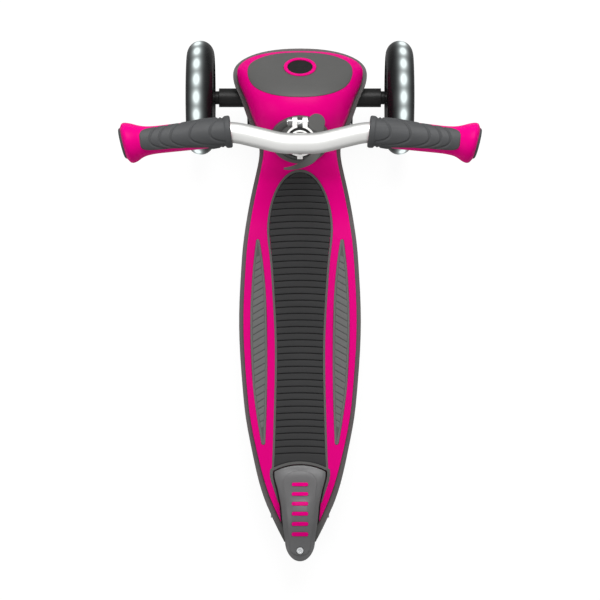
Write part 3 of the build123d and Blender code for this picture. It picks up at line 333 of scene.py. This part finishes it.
dark_zinc = finish(
    "dark zinc", (0.2, 0.2, 0.2), roughness=0.35, grain_scale=1800.0, grain_depth=0.00003,
    tone=0.1, Metallic=1.0,
)
lamp = finish(
    "lamp ring", (0.85, 0.9, 0.95), roughness=0.35, grain_scale=900.0, grain_depth=0.00003,
)


def light_up(name, sign):
    """A smoky clear tyre with a ring of lamps glowing through its outer half."""
    made = finish(
        name, (0.008, 0.008, 0.0085), roughness=0.26, grain_scale=900.0, grain_depth=0.00003,
        tone=0.1, Specular_IOR_Level=0.12,
    )
    tree = made.node_tree
    surface = tree.nodes["Principled BSDF"]
    spot = tree.nodes.new("ShaderNodeTexCoord")
    laid = tree.nodes.new("ShaderNodeMapping")
    laid.inputs["Location"].default_value = (-sign * front_wheel_x * MM, -front_y * MM, -front_z * MM)
    join(tree, spot.outputs["Object"], laid.inputs["Vector"])
    parts = tree.nodes.new("ShaderNodeSeparateXYZ")
    join(tree, laid.outputs["Vector"], parts.inputs["Vector"])
    turn = maths(tree, "ARCTAN2", parts.outputs["Z"], parts.outputs["Y"])
    step = maths(tree, "FRACT", maths(tree, "MULTIPLY_ADD", turn, light_count / (2 * pi), lamp_phase))
    along = maths(tree, "MULTIPLY", maths(tree, "SUBTRACT", step, 0.5), lamp_pitch / lamp_length)
    outward = maths(tree, "MULTIPLY_ADD", parts.outputs["X"], sign / MM, -lamp_shift)
    across = maths(tree, "DIVIDE", outward, lamp_width)

    def squared(value, scale):
        scaled = maths(tree, "MULTIPLY", value, scale)
        return maths(tree, "MULTIPLY", scaled, scaled)

    def bell(length_scale, width_scale, strength):
        """A soft spot round each lamp's middle."""
        away = maths(tree, "ADD", squared(along, length_scale), squared(across, width_scale))
        fading = maths(tree, "EXPONENT", maths(tree, "MULTIPLY", away, -1.0))
        return maths(tree, "MULTIPLY", fading, strength)

    glow = maths(tree, "ADD", bell(*lamp_core), maths(tree, "ADD", bell(*lamp_halo), bell(*lamp_haze)))
    tint = node(tree, "ShaderNodeMix", data_type="RGBA")
    tint.inputs["A"].default_value = (0.0, 0.0, 0.0, 1.0)
    tint.inputs["B"].default_value = lamp_colour
    join(tree, glow, tint.inputs["Factor"])
    join(tree, tint.outputs["Result"], surface.inputs["Emission Color"])
    surface.inputs["Emission Strength"].default_value = 1.0
    return made


lit_tyres = {side: light_up(f"{side} lit tyre", sign) for side, sign in sides}

finishes = {
    "pink_plastic": pink,
    "grey_plastic": grey,
    "mat_rubber": mat_rubber,
    "pad_rubber": pad_rubber,
    "grip_rubber": grip_rubber,
    "black_plastic": black,
    "black_paint": powder_coat,
    "silver": aluminium,
    "steel": zinc,
    "bronze": bronze,
    "lit_tyre": dark_tyre,
    "tyre": dark_tyre,
    "light": lamp,
}
for part in frame["record"]["subparts"]:
    shown = frame["nodes"][part["node"]]
    shown.data.materials.clear()
    shown.data.materials.append(finishes[part["material_slot"]])
frame["nodes"]["clamp_nut"].data.materials[0] = dark_zinc
frame["nodes"]["brake_fender"].data.materials[0] = satin_grey


# Mesh helpers
def skin(rows, closed=False, ends=False):
    """Rows of points in millimetres joined into a surface.

    closed joins each row's two ends, and ends fills the first and last row."""
    bm = bmesh.new()
    grid = [[bm.verts.new(Vector(point) * MM) for point in row] for row in rows]
    for first, second in zip(grid, grid[1:]):
        a = first + first[:1] if closed else first
        b = second + second[:1] if closed else second
        for i in range(len(a) - 1):
            bm.faces.new((a[i], a[i + 1], b[i + 1], b[i]))
    if ends:
        bm.faces.new(grid[0])
        bm.faces.new(grid[-1])
    bmesh.ops.remove_doubles(bm, verts=bm.verts, dist=weld)
    return bm


def add_mirror_image(bm):
    """Add the shape's mirror image across the middle plane."""
    copied = bmesh.ops.duplicate(bm, geom=bm.verts[:] + bm.edges[:] + bm.faces[:])["geom"]
    for item in copied:
        if isinstance(item, bmesh.types.BMVert):
            item.co.x = -item.co.x
    bm.normal_update()


def settle(bm, name, body, slot, *stands_for, sharp=38.0, look=None):
    """Make a finished shape a piece that rides on its body, in its slot's finish, in place of CAD nodes.

    Edges that turn by sharp degrees or more stay crisp."""
    bmesh.ops.recalc_face_normals(bm, faces=bm.faces)
    for face in bm.faces:
        face.smooth = True
    for edge in bm.edges:
        edge.smooth = not edge.is_manifold or edge.calc_face_angle() < radians(sharp)
    mesh = bpy.data.meshes.new(name)
    bm.to_mesh(mesh)
    bm.free()
    mesh.materials.append(look or finishes[slot])
    piece = bpy.data.objects.new(name, mesh)
    bpy.context.scene.collection.objects.link(piece)
    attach(piece, body)
    if stands_for:
        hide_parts(*stands_for)
    return piece


# Tyres
def tyre(name, body, slot, centre, outer_r, inner_r, width, stands_for, look=None):
    """A tyre turned about the X axis: its sides round into the tread and end in a bead on the core."""
    quarter = rounded(width / 2, outer_r - inner_r, tyre_power, tyre_steps)
    section = [(x, inner_r + d) for x, d in quarter]
    section += [(-x, r) for x, r in reversed(section[:-1])]
    bead_x = width / 2 - bead_inset
    bead_r = inner_r - bead_drop
    section += [(-bead_x, bead_r), (bead_x, bead_r), section[0]]
    turns = full_turn(tyre_turns)
    rows = [[centre + Vector((x, r * cos(a), r * sin(a))) for a in turns] for x, r in section]
    return settle(skin(rows, closed=True), name, body, slot, stands_for, look=look)


for side, sign in sides:
    hub = Vector((sign * front_wheel_x, front_y, front_z))
    size = (front_wheel_r, front_inner_r, front_wheel_w)
    tyre(f"{side}_lit_tyre", f"{side}_wheel", "lit_tyre", hub, *size, f"{side}_tyre", lit_tyres[side])
hub = Vector((0, rear_y, rear_z))
tyre("rear_solid_tyre", "rear_wheel", "tyre", hub, rear_wheel_r, rear_inner_r, rear_wheel_w, "rear_tyre")


# Grips: t runs along a grip from its inner end, and angles are 0 on top and grow forwards
rake = atan2(-stem_axis.y, stem_axis.z)
bar_level = 573.0
stem_forward = Vector((0, cos(rake), sin(rake)))
bar_middle = lean_point + stem_axis * bar_level / cos(rake)
bar_bend_x = 57.0
bar_bend_rise = 8.5
bar_end_drop = 1.6
bar_half = 148.0
grip_inner_x = 57.7
grip_outer_x = 150.0
grip_slope = atan2(bar_bend_rise + bar_end_drop, bar_half - bar_bend_x)
grip_length = (grip_outer_x - grip_inner_x) / cos(grip_slope)
grip_sides = 96
body_stations = spread(0.3, 70.0, 24) + spread(71.0, grip_length, 40)
body_radius = smooth_curve(
    [
        (0, 11.0), (6, 11.5), (30, 11.9), (50, 11.7), (62, 11.6), (68, 11.9), (73, 12.6), (78, 14.0),
        (83, 15.9), (86.5, 16.9), (88.8, 17.2), (90.6, 16.7), (91.8, 15.2), (grip_length, 13.4),
    ]
)

# Flared end of a grip, cut back on its rear side, and its plug as (distance past the end, radius)
flare_start = 70.0
flare_blend = 20.0
flare_r = 17.2
flare_slant = 4.5
plug_rings = ((-2.0, 13.2), (0.5, 13.1), (1.4, 12.6), (1.9, 11.6), (2.2, 10.0), (2.35, 6.0), (2.4, 2.0))

# Rubber pad on a grip: a collar at the inner end, then a tongue whose reaches are in degrees
pad_length = 76.5
pad_end_gap = 0.02
pad_stations = 190
pad_columns = 141
pad_mean_r = 12.0
pad_taper_start = 58.0
pad_taper_power = 3.2
pad_edge = 1.5
pad_end_rise = 1.2
pad_least = 0.3
pad_sunk = 0.35
pad_inside = 0.9
pad_radius = smooth_curve(
    [
        (0, 12.5), (0.5, 13.2), (1.4, 13.6), (4.2, 13.5), (5.4, 12.9), (9.0, 13.1), (24, 13.8), (52, 13.6),
        (64, 13.6), (70, 13.9), (pad_length, 15.0),
    ]
)
front_reach = smooth_curve(
    [(0, 179.5), (9, 179.0), (14, 140), (20, 100), (28, 80), (45, 68), (61, 61), (80, 58)]
)
rear_reach = smooth_curve(
    [(0, 179.5), (9, 178.0), (13, 125), (18, 82), (24, 64), (32, 56), (45, 50), (61, 45), (80, 43)]
)
collar_end = 9.0
notch_places = (6.6, 9.6)
notch_depth = 0.9
notch_half = 0.8
notch_turn = 0.7
notch_blend = 0.5

# Contour lines of a pad: nested tongues, each pulled back towards its edges by (distance, at degrees, power)
tongue_start = 5.5
tongue_tips = (17.5, 34.5, 50.5, 60.0, 68.0)
front_pull = (10.0, 70.0, 2.0)
rear_pull = (34.0, 60.0, 2.4)
contour_depth = 0.75
contour_half = 0.75
contour_step = 0.1
contour_step_length = 2.4


def grip_point(sign, t, radius, angle):
    """A point round the right or left grip's axis."""
    out = Vector((cos(grip_slope), 0, 0)) - stem_forward * sin(grip_slope)
    ahead = Vector((sin(grip_slope), 0, 0)) + stem_forward * cos(grip_slope)
    start_v = bar_bend_rise - (grip_inner_x - bar_bend_x) * tan(grip_slope)
    start = bar_middle + stem_forward * start_v + Vector((grip_inner_x, 0, 0))
    point = start + out * t + (stem_axis * cos(angle) + ahead * sin(angle)) * radius
    return Vector((sign * point.x, point.y, point.z))


def slanted(t, across):
    """Distance along the grip, less on the flared end's rear side; across is measured to the front."""
    share = smooth_step((t - flare_start) / flare_blend)
    return t - flare_slant / 2 * share * (1 - across / flare_r)


def contour_relief(t, angle):
    """Depth of the pad's contour lines, below 0, with a small step down after each."""
    turn = abs(degrees(angle))
    most, at_turn, power = front_pull if angle > 0 else rear_pull
    pull = most * (turn / at_turn) ** power
    growth = power * pull / max(turn, 1e-6)
    steepness = sqrt(1 + (growth * degrees(1.0) / pad_mean_r) ** 2)
    relief = 0.0
    for tip in tongue_tips:
        away = (t + pull - tip) / steepness
        relief -= contour_depth * exp(-((away / contour_half) ** 2))
        relief -= contour_step * smooth_step(0.5 + away / contour_step_length)
    return relief


def pad_reach(t, u):
    """Angle from the top to the pad's front or rear edge, which close to a rounded end."""
    end = max(0.0, (t - pad_taper_start) / (pad_length - pad_taper_start))
    width = (1 - end**pad_taper_power) ** (1 / pad_taper_power)
    return radians((front_reach(t) if u > 0 else rear_reach(t)) * width)


def pad_outside(t, u, reach):
    """Radius of the pad's outside, which rounds down into the grip's body along its edges."""
    angle = u * reach
    notch = notch_depth * smooth_step((abs(angle) - notch_turn) / notch_blend)
    notch *= sum(exp(-(((t - at) / notch_half) ** 2)) for at in notch_places)
    relief = contour_relief(t, angle) if t > tongue_start else 0.0
    outside = max(pad_radius(t) - notch + relief, body_radius(t) + pad_least)
    to_edge = min((1 - abs(u)) * reach * pad_mean_r, (pad_length - t) * pad_end_rise)
    rise = sqrt(1 - (1 - min(to_edge / pad_edge, 1.0)) ** 2) if t > collar_end else 1.0
    floor = body_radius(t) - pad_sunk
    return floor + (outside - floor) * rise


def pad_rows(sign):
    """Closed rings of the rubber pad: its outside from edge to edge, then back along its inside."""
    rows = []
    for t in spread(0.0, pad_length - pad_end_gap, pad_stations):
        columns = [(u, pad_reach(t, u)) for u in spread(-1.0, 1.0, pad_columns)]
        ring = [grip_point(sign, t, pad_outside(t, u, reach), u * reach) for u, reach in columns]
        inside = body_radius(t) - pad_inside
        ring += [grip_point(sign, t, inside, u * reach) for u, reach in reversed(columns)]
        rows.append(ring)
    return rows


def flared_ring(sign, t, radius):
    """A ring round the grip's axis that follows the slant of the flared end."""
    return [grip_point(sign, slanted(t, radius * sin(a)), radius, a) for a in full_turn(grip_sides)]


for side, sign in sides:
    pad = skin(pad_rows(sign), closed=True, ends=True)
    settle(pad, f"{side}_rubber_pad", "t_bar", "grip_rubber", f"{side}_grip_pad")
    grip = skin([flared_ring(sign, t, body_radius(t)) for t in body_stations], closed=True, ends=True)
    settle(grip, f"{side}_flared_grip", "t_bar", "pink_plastic", f"{side}_grip")
    plug = skin([flared_ring(sign, grip_length + past, r) for past, r in plug_rings], closed=True, ends=True)
    settle(plug, f"{side}_end_plug", "t_bar", "grip_rubber")


# Coil under the lock button: a piece with a mesh of its own.
# Heights are measured along the button's axis from the nose's surface.
coil_r = 8.5
coil_wire_r = 0.5
coil_turns = 3.5
coil_stations = 127
wire_sides = 12
coil_low = -12.3
coil_high = -6.7
bezel_middle = -6.9
button_axis = -Vector(joints["lock_press"]["axis"])
bezel_low, bezel_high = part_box("button_bezel")
button_centre = (bezel_low + bezel_high) / 2 / MM - button_axis * bezel_middle


def coil_rows():
    """Rings of wire along the coil."""
    across = Vector((1, 0, 0))
    ahead = button_axis.cross(across)
    rows = []
    for share in spread(0.0, 1.0, coil_stations):
        turn = share * coil_turns * 2 * pi
        outwards = across * cos(turn) + ahead * sin(turn)
        height = coil_low + share * (coil_high - coil_low)
        middle = button_centre + outwards * coil_r + button_axis * height
        ring = [outwards * cos(a) + button_axis * sin(a) for a in full_turn(wire_sides)]
        rows.append([middle + way * coil_wire_r for way in ring])
    return rows


wire = skin(coil_rows(), closed=True, ends=True)
button_coil = settle(wire, "button_coil", "deck", "steel", "button_spring", sharp=50.0)
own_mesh(button_coil)


# Mat and side pads: a sheet darkened with painted shade between the ribs, with raised ribs laid over it by one
# node tree
mat_rim_width = 2.3
mat_inset = mat_rim_width + seam
mat_proud = 1.2
mat_floor = 0.35
mat_depth = 1.5
mat_columns = 13
mat_front_y = front_y - 83.0
mat_front_power = 2.1
mat_tip = 1.2
mat_widest_y = front_y - 144.0
mat_front_half = 34.7
mat_waist_half = 26.3
mat_rear_half = 29.5
rib_front = 59.5
rib_pitch = 7.0
rib_groove = 0.75
rib_sunk = 0.1
rib_rise = 3.0
rib_rise_x = 40.0
arch_y = rear_y - 11.5
arch_r = 60.3 + mat_inset
mat_half = smooth_curve(
    [
        (rear_y + 40.0, mat_rear_half),
        (rear_y + 86.0, mat_waist_half + 0.45 * (mat_rear_half - mat_waist_half)),
        (front_y - 275.0, mat_waist_half),
        (front_y - 197.0, mat_waist_half + 0.42 * (mat_front_half - mat_waist_half)),
        (mat_widest_y, mat_front_half),
    ]
)

# One rib before it is laid: half its section as (share of width, share of height), and steps along it
bar_edge = ((0.0, 0.0), (0.0, 0.5), (0.03, 0.78), (0.09, 0.94), (0.17, 1.0))
bar_steps = 17

# Leaf-shaped side pads: the border's section is (distance from the edge, height), and ribs slant across
leaf_slope = radians(30.0)
leaf_pitch = 7.4
leaf_groove = 0.9
leaf_floor = 0.3
leaf_rib = 0.45
leaf_rib_inset = 2.4
leaf_rib_least = 3.0
leaf_plain_front = 14.0
leaf_plain_rear = 16.0
leaf_depth = 1.2
leaf_middle_x = 43.0
leaf_tip_r = 2.0
leaf_tip_steps = (0.1, 0.3, 0.6, 1.0, 1.5, 2.0)
leaf_tip_length = 3.0
leaf_stations = 80
leaf_border = ((0.0, 0.1), (0.15, 0.55), (0.45, 0.8), (0.9, 0.9), (1.5, 0.86), (1.9, 0.62), (2.3, leaf_floor))
leaf_front_y = front_y - 152.5
leaf_rear_y = rear_y + 68.5
leaf_outer = smooth_curve(
    [
        (leaf_rear_y, 40.3), (front_y - 345, 44.6), (front_y - 302, 50.0), (front_y - 240, 52.3),
        (front_y - 195, 50.6), (leaf_front_y, 46.3),
    ]
)
leaf_inner = smooth_curve(
    [
        (leaf_rear_y, 36.2), (front_y - 348, 35.4), (front_y - 290, 34.2), (front_y - 220, 35.4),
        (front_y - 182, 38.4), (leaf_front_y, 42.6),
    ]
)


def deck_surface(x, y, proud):
    """A point over the deck or the riser, proud of its surface."""
    turn = radians(riser_angle)
    bend_end_y = bend_start_y + bend_radius * sin(turn)
    if y <= bend_start_y:
        z, slope = deck_top_z, 0.0
    elif y < bend_end_y:
        slope = asin((y - bend_start_y) / bend_radius)
        z = deck_top_z + bend_radius * (1 - cos(slope))
    else:
        slope = turn
        z = deck_top_z + bend_radius * (1 - cos(turn)) + (y - bend_end_y) * tan(turn)
    return Vector((x, y - proud * sin(slope), z + proud * cos(slope)))


def mat_edge(y):
    """Half width of the mat inside its rim."""
    if y <= mat_widest_y:
        return mat_half(y) - mat_inset
    reach = (y - mat_widest_y) / (mat_front_y - mat_widest_y - mat_inset)
    return (mat_front_half - mat_inset) * max(0.0, 1 - reach**mat_front_power) ** (1 / mat_front_power)


def mat_line(middle_y):
    """The arched line across the mat at middle_y, as (end x, end y, middle y); six rounds settle its ends."""
    x = mat_edge(middle_y)
    for _ in range(6):
        y = middle_y - rib_rise * (x / rib_rise_x) ** 2
        x = mat_edge(y)
    return x, y, middle_y


def arch_line():
    """The mat's rear end along the arch round the brake, as (end x, end y, middle y)."""
    x = mat_rear_half - mat_inset
    return x, arch_y + sqrt(arch_r**2 - x**2), arch_y + arch_r


def deck_y(s):
    """Place along Y at the distance s over the deck and up the riser from the start of the bend."""
    turn = radians(riser_angle)
    if s <= 0:
        return bend_start_y + s
    if s < bend_radius * turn:
        return bend_start_y + bend_radius * sin(s / bend_radius)
    return bend_start_y + bend_radius * sin(turn) + (s - bend_radius * turn) * cos(turn)


def mat_lines():
    """Rear and front line of each rib, from the mat's tip to the arch."""
    tip = mat_front_y - mat_inset
    front = (mat_edge(tip - mat_tip), tip - mat_tip, tip)
    ribs = []
    s = rib_front - rib_pitch
    while deck_y(s - rib_pitch) > arch_y + arch_r:
        ribs.append((mat_line(deck_y(s + rib_groove)), front))
        front = mat_line(deck_y(s))
        s -= rib_pitch
    ribs.append((arch_line(), front))
    return ribs


def mat_sheet(lines):
    """The closed sheet under the ribs."""
    rows = []
    for x, y, middle in lines:
        ring = []
        for proud, order in ((mat_floor, 1), (-mat_depth, -1)):
            for u in spread(-1.0, 1.0, mat_columns)[::order]:
                ring.append(deck_surface(u * x, middle + (y - middle) * u * u, proud))
        rows.append(ring)
    return skin(rows, closed=True, ends=True)


def leaf_corner(line_y, edge, inset):
    """Where a slanting line meets one side of the right-hand pad; twelve rounds settle it."""
    x = leaf_middle_x
    for _ in range(12):
        y = line_y - tan(leaf_slope) * (x - leaf_middle_x)
        x = edge(y) + inset
    return Vector((x, y, deck_top_z + leaf_floor))


def leaf_ribs():
    """Corners of the right-hand pad's slanting ribs: rear inner, rear outer, front inner, front outer."""
    ribs = []
    line = leaf_rear_y + leaf_plain_rear
    while line + leaf_pitch < leaf_front_y - leaf_plain_front:
        corners = []
        for y in (line, line + leaf_pitch - leaf_groove):
            corners.append(leaf_corner(y, leaf_inner, leaf_rib_inset))
            corners.append(leaf_corner(y, leaf_outer, -leaf_rib_inset))
        shortest = min(corners[1].x - corners[0].x, corners[3].x - corners[2].x)
        if shortest > leaf_rib_least:
            ribs.append(corners)
        line += leaf_pitch
    return ribs


def leaf_sheet():
    """The right-hand pad: a thin leaf with a rounded, raised border."""
    border_height = smooth_curve(leaf_border)
    steps = ((0.0, -leaf_depth), *leaf_border)
    stations = [leaf_rear_y + d for d in leaf_tip_steps]
    stations += spread(leaf_rear_y + leaf_tip_length, leaf_front_y - leaf_tip_length, leaf_stations)
    stations += [leaf_front_y - d for d in reversed(leaf_tip_steps)]
    rows = []
    for y in stations:
        from_tip = min(y - leaf_rear_y, leaf_front_y - y)
        middle = (leaf_inner(y) + leaf_outer(y)) / 2
        half = (leaf_outer(y) - leaf_inner(y)) / 2 - seam
        half *= sqrt(1 - (1 - min(from_tip / leaf_tip_r, 1.0)) ** 2)
        left = []
        right = []
        for d, h in steps:
            reach = max(half - d, 0.0)
            level = h if d < half else border_height(half)
            left.append(Vector((middle - reach, y, deck_top_z + level)))
            right.append(Vector((middle + reach, y, deck_top_z + level)))
        rows.append(left + right[::-1])
    return skin(rows, closed=True, ends=True)


def bar_shape():
    """A unit bar with rounded top edges; its own coordinates are kept in the unit attribute."""
    section = list(bar_edge)
    section += [(1 - v, w) for v, w in reversed(section)]
    rows = [[Vector((u, v, w)) / MM for v, w in section] for u in spread(0.0, 1.0, bar_steps)]
    bm = skin(rows, closed=True, ends=True)
    bmesh.ops.recalc_face_normals(bm, faces=bm.faces)
    mesh = bpy.data.meshes.new("unit bar")
    bm.to_mesh(mesh)
    bm.free()
    unit = mesh.attributes.new("unit", "FLOAT_VECTOR", "POINT")
    for vertex, kept in zip(mesh.vertices, unit.data):
        kept.vector = vertex.co
    shape = bpy.data.objects.new("unit bar", mesh)
    bpy.context.scene.collection.objects.link(shape)
    return shape


def rib_tree():
    """Node tree that lays one bar per point between the point's rear and front lines."""
    tree = bpy.data.node_groups.new("laid ribs", "GeometryNodeTree")
    for name, kind in (("Lines", "Geometry"), ("Bar", "Object"), ("Height", "Float"), ("Finish", "Material")):
        tree.interface.new_socket(name, in_out="INPUT", socket_type=f"NodeSocket{kind}")
    tree.interface.new_socket("Ribs", in_out="OUTPUT", socket_type="NodeSocketGeometry")
    inputs = tree.nodes.new("NodeGroupInput")
    outputs = tree.nodes.new("NodeGroupOutput")
    shape = tree.nodes.new("GeometryNodeObjectInfo")
    join(tree, inputs.outputs["Bar"], shape.inputs["Object"])
    copies = tree.nodes.new("GeometryNodeInstanceOnPoints")
    join(tree, inputs.outputs["Lines"], copies.inputs["Points"])
    join(tree, shape.outputs["Geometry"], copies.inputs["Instance"])
    real = tree.nodes.new("GeometryNodeRealizeInstances")
    join(tree, copies.outputs["Instances"], real.inputs["Geometry"])

    def kept(name):
        read = tree.nodes.new("GeometryNodeInputNamedAttribute")
        read.data_type = "FLOAT_VECTOR"
        read.inputs["Name"].default_value = name
        return read.outputs["Attribute"]

    def vectors(operation, first, second):
        made = tree.nodes.new("ShaderNodeVectorMath")
        made.operation = operation
        join(tree, first, made.inputs[0])
        join(tree, second, made.inputs["Scale"] if operation == "SCALE" else made.inputs[1])
        return made.outputs["Vector"]

    def between(first, second, share):
        return vectors("ADD", first, vectors("SCALE", vectors("SUBTRACT", second, first), share))

    shares = tree.nodes.new("ShaderNodeSeparateXYZ")
    join(tree, kept("unit"), shares.inputs["Vector"])
    u, v, w = shares.outputs
    arch = maths(tree, "MULTIPLY", maths(tree, "MULTIPLY", u, maths(tree, "SUBTRACT", 1.0, u)), 4.0)
    lines = []
    for end in ("rear", "front"):
        straight = between(kept(f"{end}_a"), kept(f"{end}_b"), u)
        lines.append(vectors("ADD", straight, vectors("SCALE", kept(f"{end}_bow"), arch)))
    lift = vectors("SCALE", kept("up"), maths(tree, "MULTIPLY", w, inputs.outputs["Height"]))
    moved = tree.nodes.new("GeometryNodeSetPosition")
    join(tree, real.outputs["Geometry"], moved.inputs["Geometry"])
    join(tree, vectors("ADD", between(*lines, v), lift), moved.inputs["Position"])
    coloured = tree.nodes.new("GeometryNodeSetMaterial")
    join(tree, moved.outputs["Geometry"], coloured.inputs["Geometry"])
    join(tree, inputs.outputs["Finish"], coloured.inputs["Material"])
    join(tree, coloured.outputs["Geometry"], outputs.inputs["Ribs"])
    return tree


def lay_ribs(name, body, slot, height, ribs, *stands_for):
    """Ribs from a list of named vectors in millimetres, as one plain mesh."""
    mesh = bpy.data.meshes.new(name)
    mesh.from_pydata([(0, 0, 0)] * len(ribs), [], [])
    for key in ribs[0]:
        kept = mesh.attributes.new(key, "FLOAT_VECTOR", "POINT")
        for rib, item in zip(ribs, kept.data):
            item.vector = rib[key] if key == "up" else rib[key] * MM
    holder = bpy.data.objects.new(name, mesh)
    bpy.context.scene.collection.objects.link(holder)
    modifier = holder.modifiers.new("ribs", "NODES")
    modifier.node_group = laid_ribs
    values = {"Bar": unit_bar, "Height": height * MM, "Finish": finishes[slot]}
    for item in laid_ribs.interface.items_tree:
        if item.name in values:
            modifier[item.identifier] = values[item.name]
    seen = holder.evaluated_get(bpy.context.evaluated_depsgraph_get())
    plain = bpy.data.meshes.new_from_object(seen)
    bpy.data.objects.remove(holder)
    for used in (*ribs[0], "unit"):
        if used in plain.attributes:
            plain.attributes.remove(plain.attributes[used])
    bm = bmesh.new()
    bm.from_mesh(plain)
    return settle(bm, name, body, slot, *stands_for)


unit_bar = bar_shape()
laid_ribs = rib_tree()

lines = mat_lines()
rib_foot = mat_floor - rib_sunk
mat_ribs = []
for rear, front in lines:
    rib = {}
    for end, (x, y, middle) in (("rear", rear), ("front", front)):
        rib[f"{end}_a"] = deck_surface(-x, y, rib_foot)
        rib[f"{end}_b"] = deck_surface(x, y, rib_foot)
        rib[f"{end}_bow"] = deck_surface(0, middle, rib_foot) - deck_surface(0, y, rib_foot)
    half_way = (rear[2] + front[2]) / 2
    rib["up"] = deck_surface(0, half_way, 1.0) - deck_surface(0, half_way, 0.0)
    mat_ribs.append(rib)
lay_ribs("mat_ribs", "deck", "mat_rubber", mat_proud - rib_foot, mat_ribs, "deck_mat")
# The sheet shows in the grooves, so it takes the darker rubber as painted groove shade.
sheet = mat_sheet([line for rib in reversed(lines) for line in rib])
settle(sheet, "mat_sheet", "deck", "mat_rubber", look=mat_groove_painted_shade)

pad_ribs = []
for corners in leaf_ribs():
    for sign in (1, -1):
        a, b, c, d = [Vector((sign * p.x, p.y, p.z)) for p in corners]
        ends = {"rear_a": a, "rear_b": b, "front_a": c, "front_b": d}
        pad_ribs.append({**ends, "rear_bow": Vector(), "front_bow": Vector(), "up": Vector((0, 0, 1))})
lay_ribs("pad_ribs", "deck", "pad_rubber", leaf_rib, pad_ribs)
sheet = leaf_sheet()
add_mirror_image(sheet)
leaves = settle(sheet, "pad_leaves", "deck", "pad_rubber", "side_pads")
# The level floor between the pads' ribs takes the darker rubber as painted groove shade.
leaves.data.materials.append(pad_floor_painted_shade)
groove_z = deck_top_z + leaf_floor + 0.05
level = 0.99
for face in leaves.data.polygons:
    if face.normal.z > level and face.center.z / MM < groove_z:
        face.material_index = 1
bpy.data.objects.remove(unit_bar)


# Stage, in metres
white = (1.0, 1.0, 1.0, 1.0)
floor_size = 12.0
floor_z = -0.0005
floor_colour = (0.86, 0.86, 0.86, 1.0)
floor_glow = 1.08
floor_glow_share = 0.86
floor_reflected = 0.3
world_light = 0.36
world_more_reflected = 0.44
world_more_seen = 0.64
lamp_aim = (0, 0, 0.1)
camera_lens = 168.0
camera_place = (0.0, -0.3968, 2.9834)
camera_aim = (0.0, -0.0015, 0.06)


def make_floor():
    """A pale floor that keeps the shadow, looks white to the camera and dims in reflections."""
    bpy.ops.mesh.primitive_plane_add(size=floor_size, location=(0, 0, floor_z))
    floor = bpy.context.object
    floor.name = "floor"
    made = bpy.data.materials.new("pale floor")
    made.use_nodes = True
    tree = made.node_tree
    tree.nodes.clear()
    output = tree.nodes.new("ShaderNodeOutputMaterial")
    paper = node(tree, "ShaderNodeBsdfDiffuse", Color=floor_colour)
    glow = node(tree, "ShaderNodeEmission", Color=white, Strength=floor_glow)
    dim = node(tree, "ShaderNodeEmission", Color=white, Strength=floor_reflected)
    rays = tree.nodes.new("ShaderNodeLightPath")
    reflected = tree.nodes.new("ShaderNodeMixShader")
    join(tree, rays.outputs["Is Glossy Ray"], reflected.inputs["Fac"])
    join(tree, paper.outputs["BSDF"], reflected.inputs[1])
    join(tree, dim.outputs["Emission"], reflected.inputs[2])
    mixed = tree.nodes.new("ShaderNodeMixShader")
    seen = maths(tree, "MULTIPLY", rays.outputs["Is Camera Ray"], floor_glow_share)
    join(tree, seen, mixed.inputs["Fac"])
    join(tree, reflected.outputs["Shader"], mixed.inputs[1])
    join(tree, glow.outputs["Emission"], mixed.inputs[2])
    join(tree, mixed.outputs["Shader"], output.inputs["Surface"])
    floor.data.materials.append(made)


def aim_at(thing, place, target):
    """Put a lamp or the camera in place, looking at its target."""
    thing.location = place
    thing.rotation_mode = "QUATERNION"
    thing.rotation_quaternion = (Vector(target) - Vector(place)).to_track_quat("-Z", "Y")
    bpy.context.scene.collection.objects.link(thing)


def make_lamp(name, place, size, power):
    """A soft square lamp."""
    data = bpy.data.lights.new(name, "AREA")
    data.size = size
    data.energy = power
    aim_at(bpy.data.objects.new(name, data), place, lamp_aim)


def make_world():
    """Even white surroundings, brighter in reflections and plain white behind the floor's edge."""
    world = bpy.data.worlds.new("studio")
    bpy.context.scene.world = world
    world.use_nodes = True
    tree = world.node_tree
    back = tree.nodes["Background"]
    back.inputs["Color"].default_value = white
    rays = tree.nodes.new("ShaderNodeLightPath")
    strength = maths(tree, "MULTIPLY_ADD", rays.outputs["Is Glossy Ray"], world_more_reflected, world_light)
    strength = maths(tree, "MULTIPLY_ADD", rays.outputs["Is Camera Ray"], world_more_seen, strength)
    join(tree, strength, back.inputs["Strength"])


def make_camera():
    """Straight behind the scooter and nearly overhead, as far off as the photograph was taken."""
    data = bpy.data.cameras.new("camera")
    data.lens = camera_lens
    data.sensor_width = 36.0
    data.clip_end = 50.0
    camera = bpy.data.objects.new("camera", data)
    aim_at(camera, camera_place, camera_aim)
    bpy.context.scene.camera = camera


bpy.context.scene.view_settings.view_transform = "Standard"
make_floor()
make_lamp("front key", place=(0.25, 1.9, 3.1), size=2.0, power=88.0)
make_lamp("left fill", place=(-2.4, -0.4, 2.0), size=1.6, power=12.0)
make_world()
make_camera()
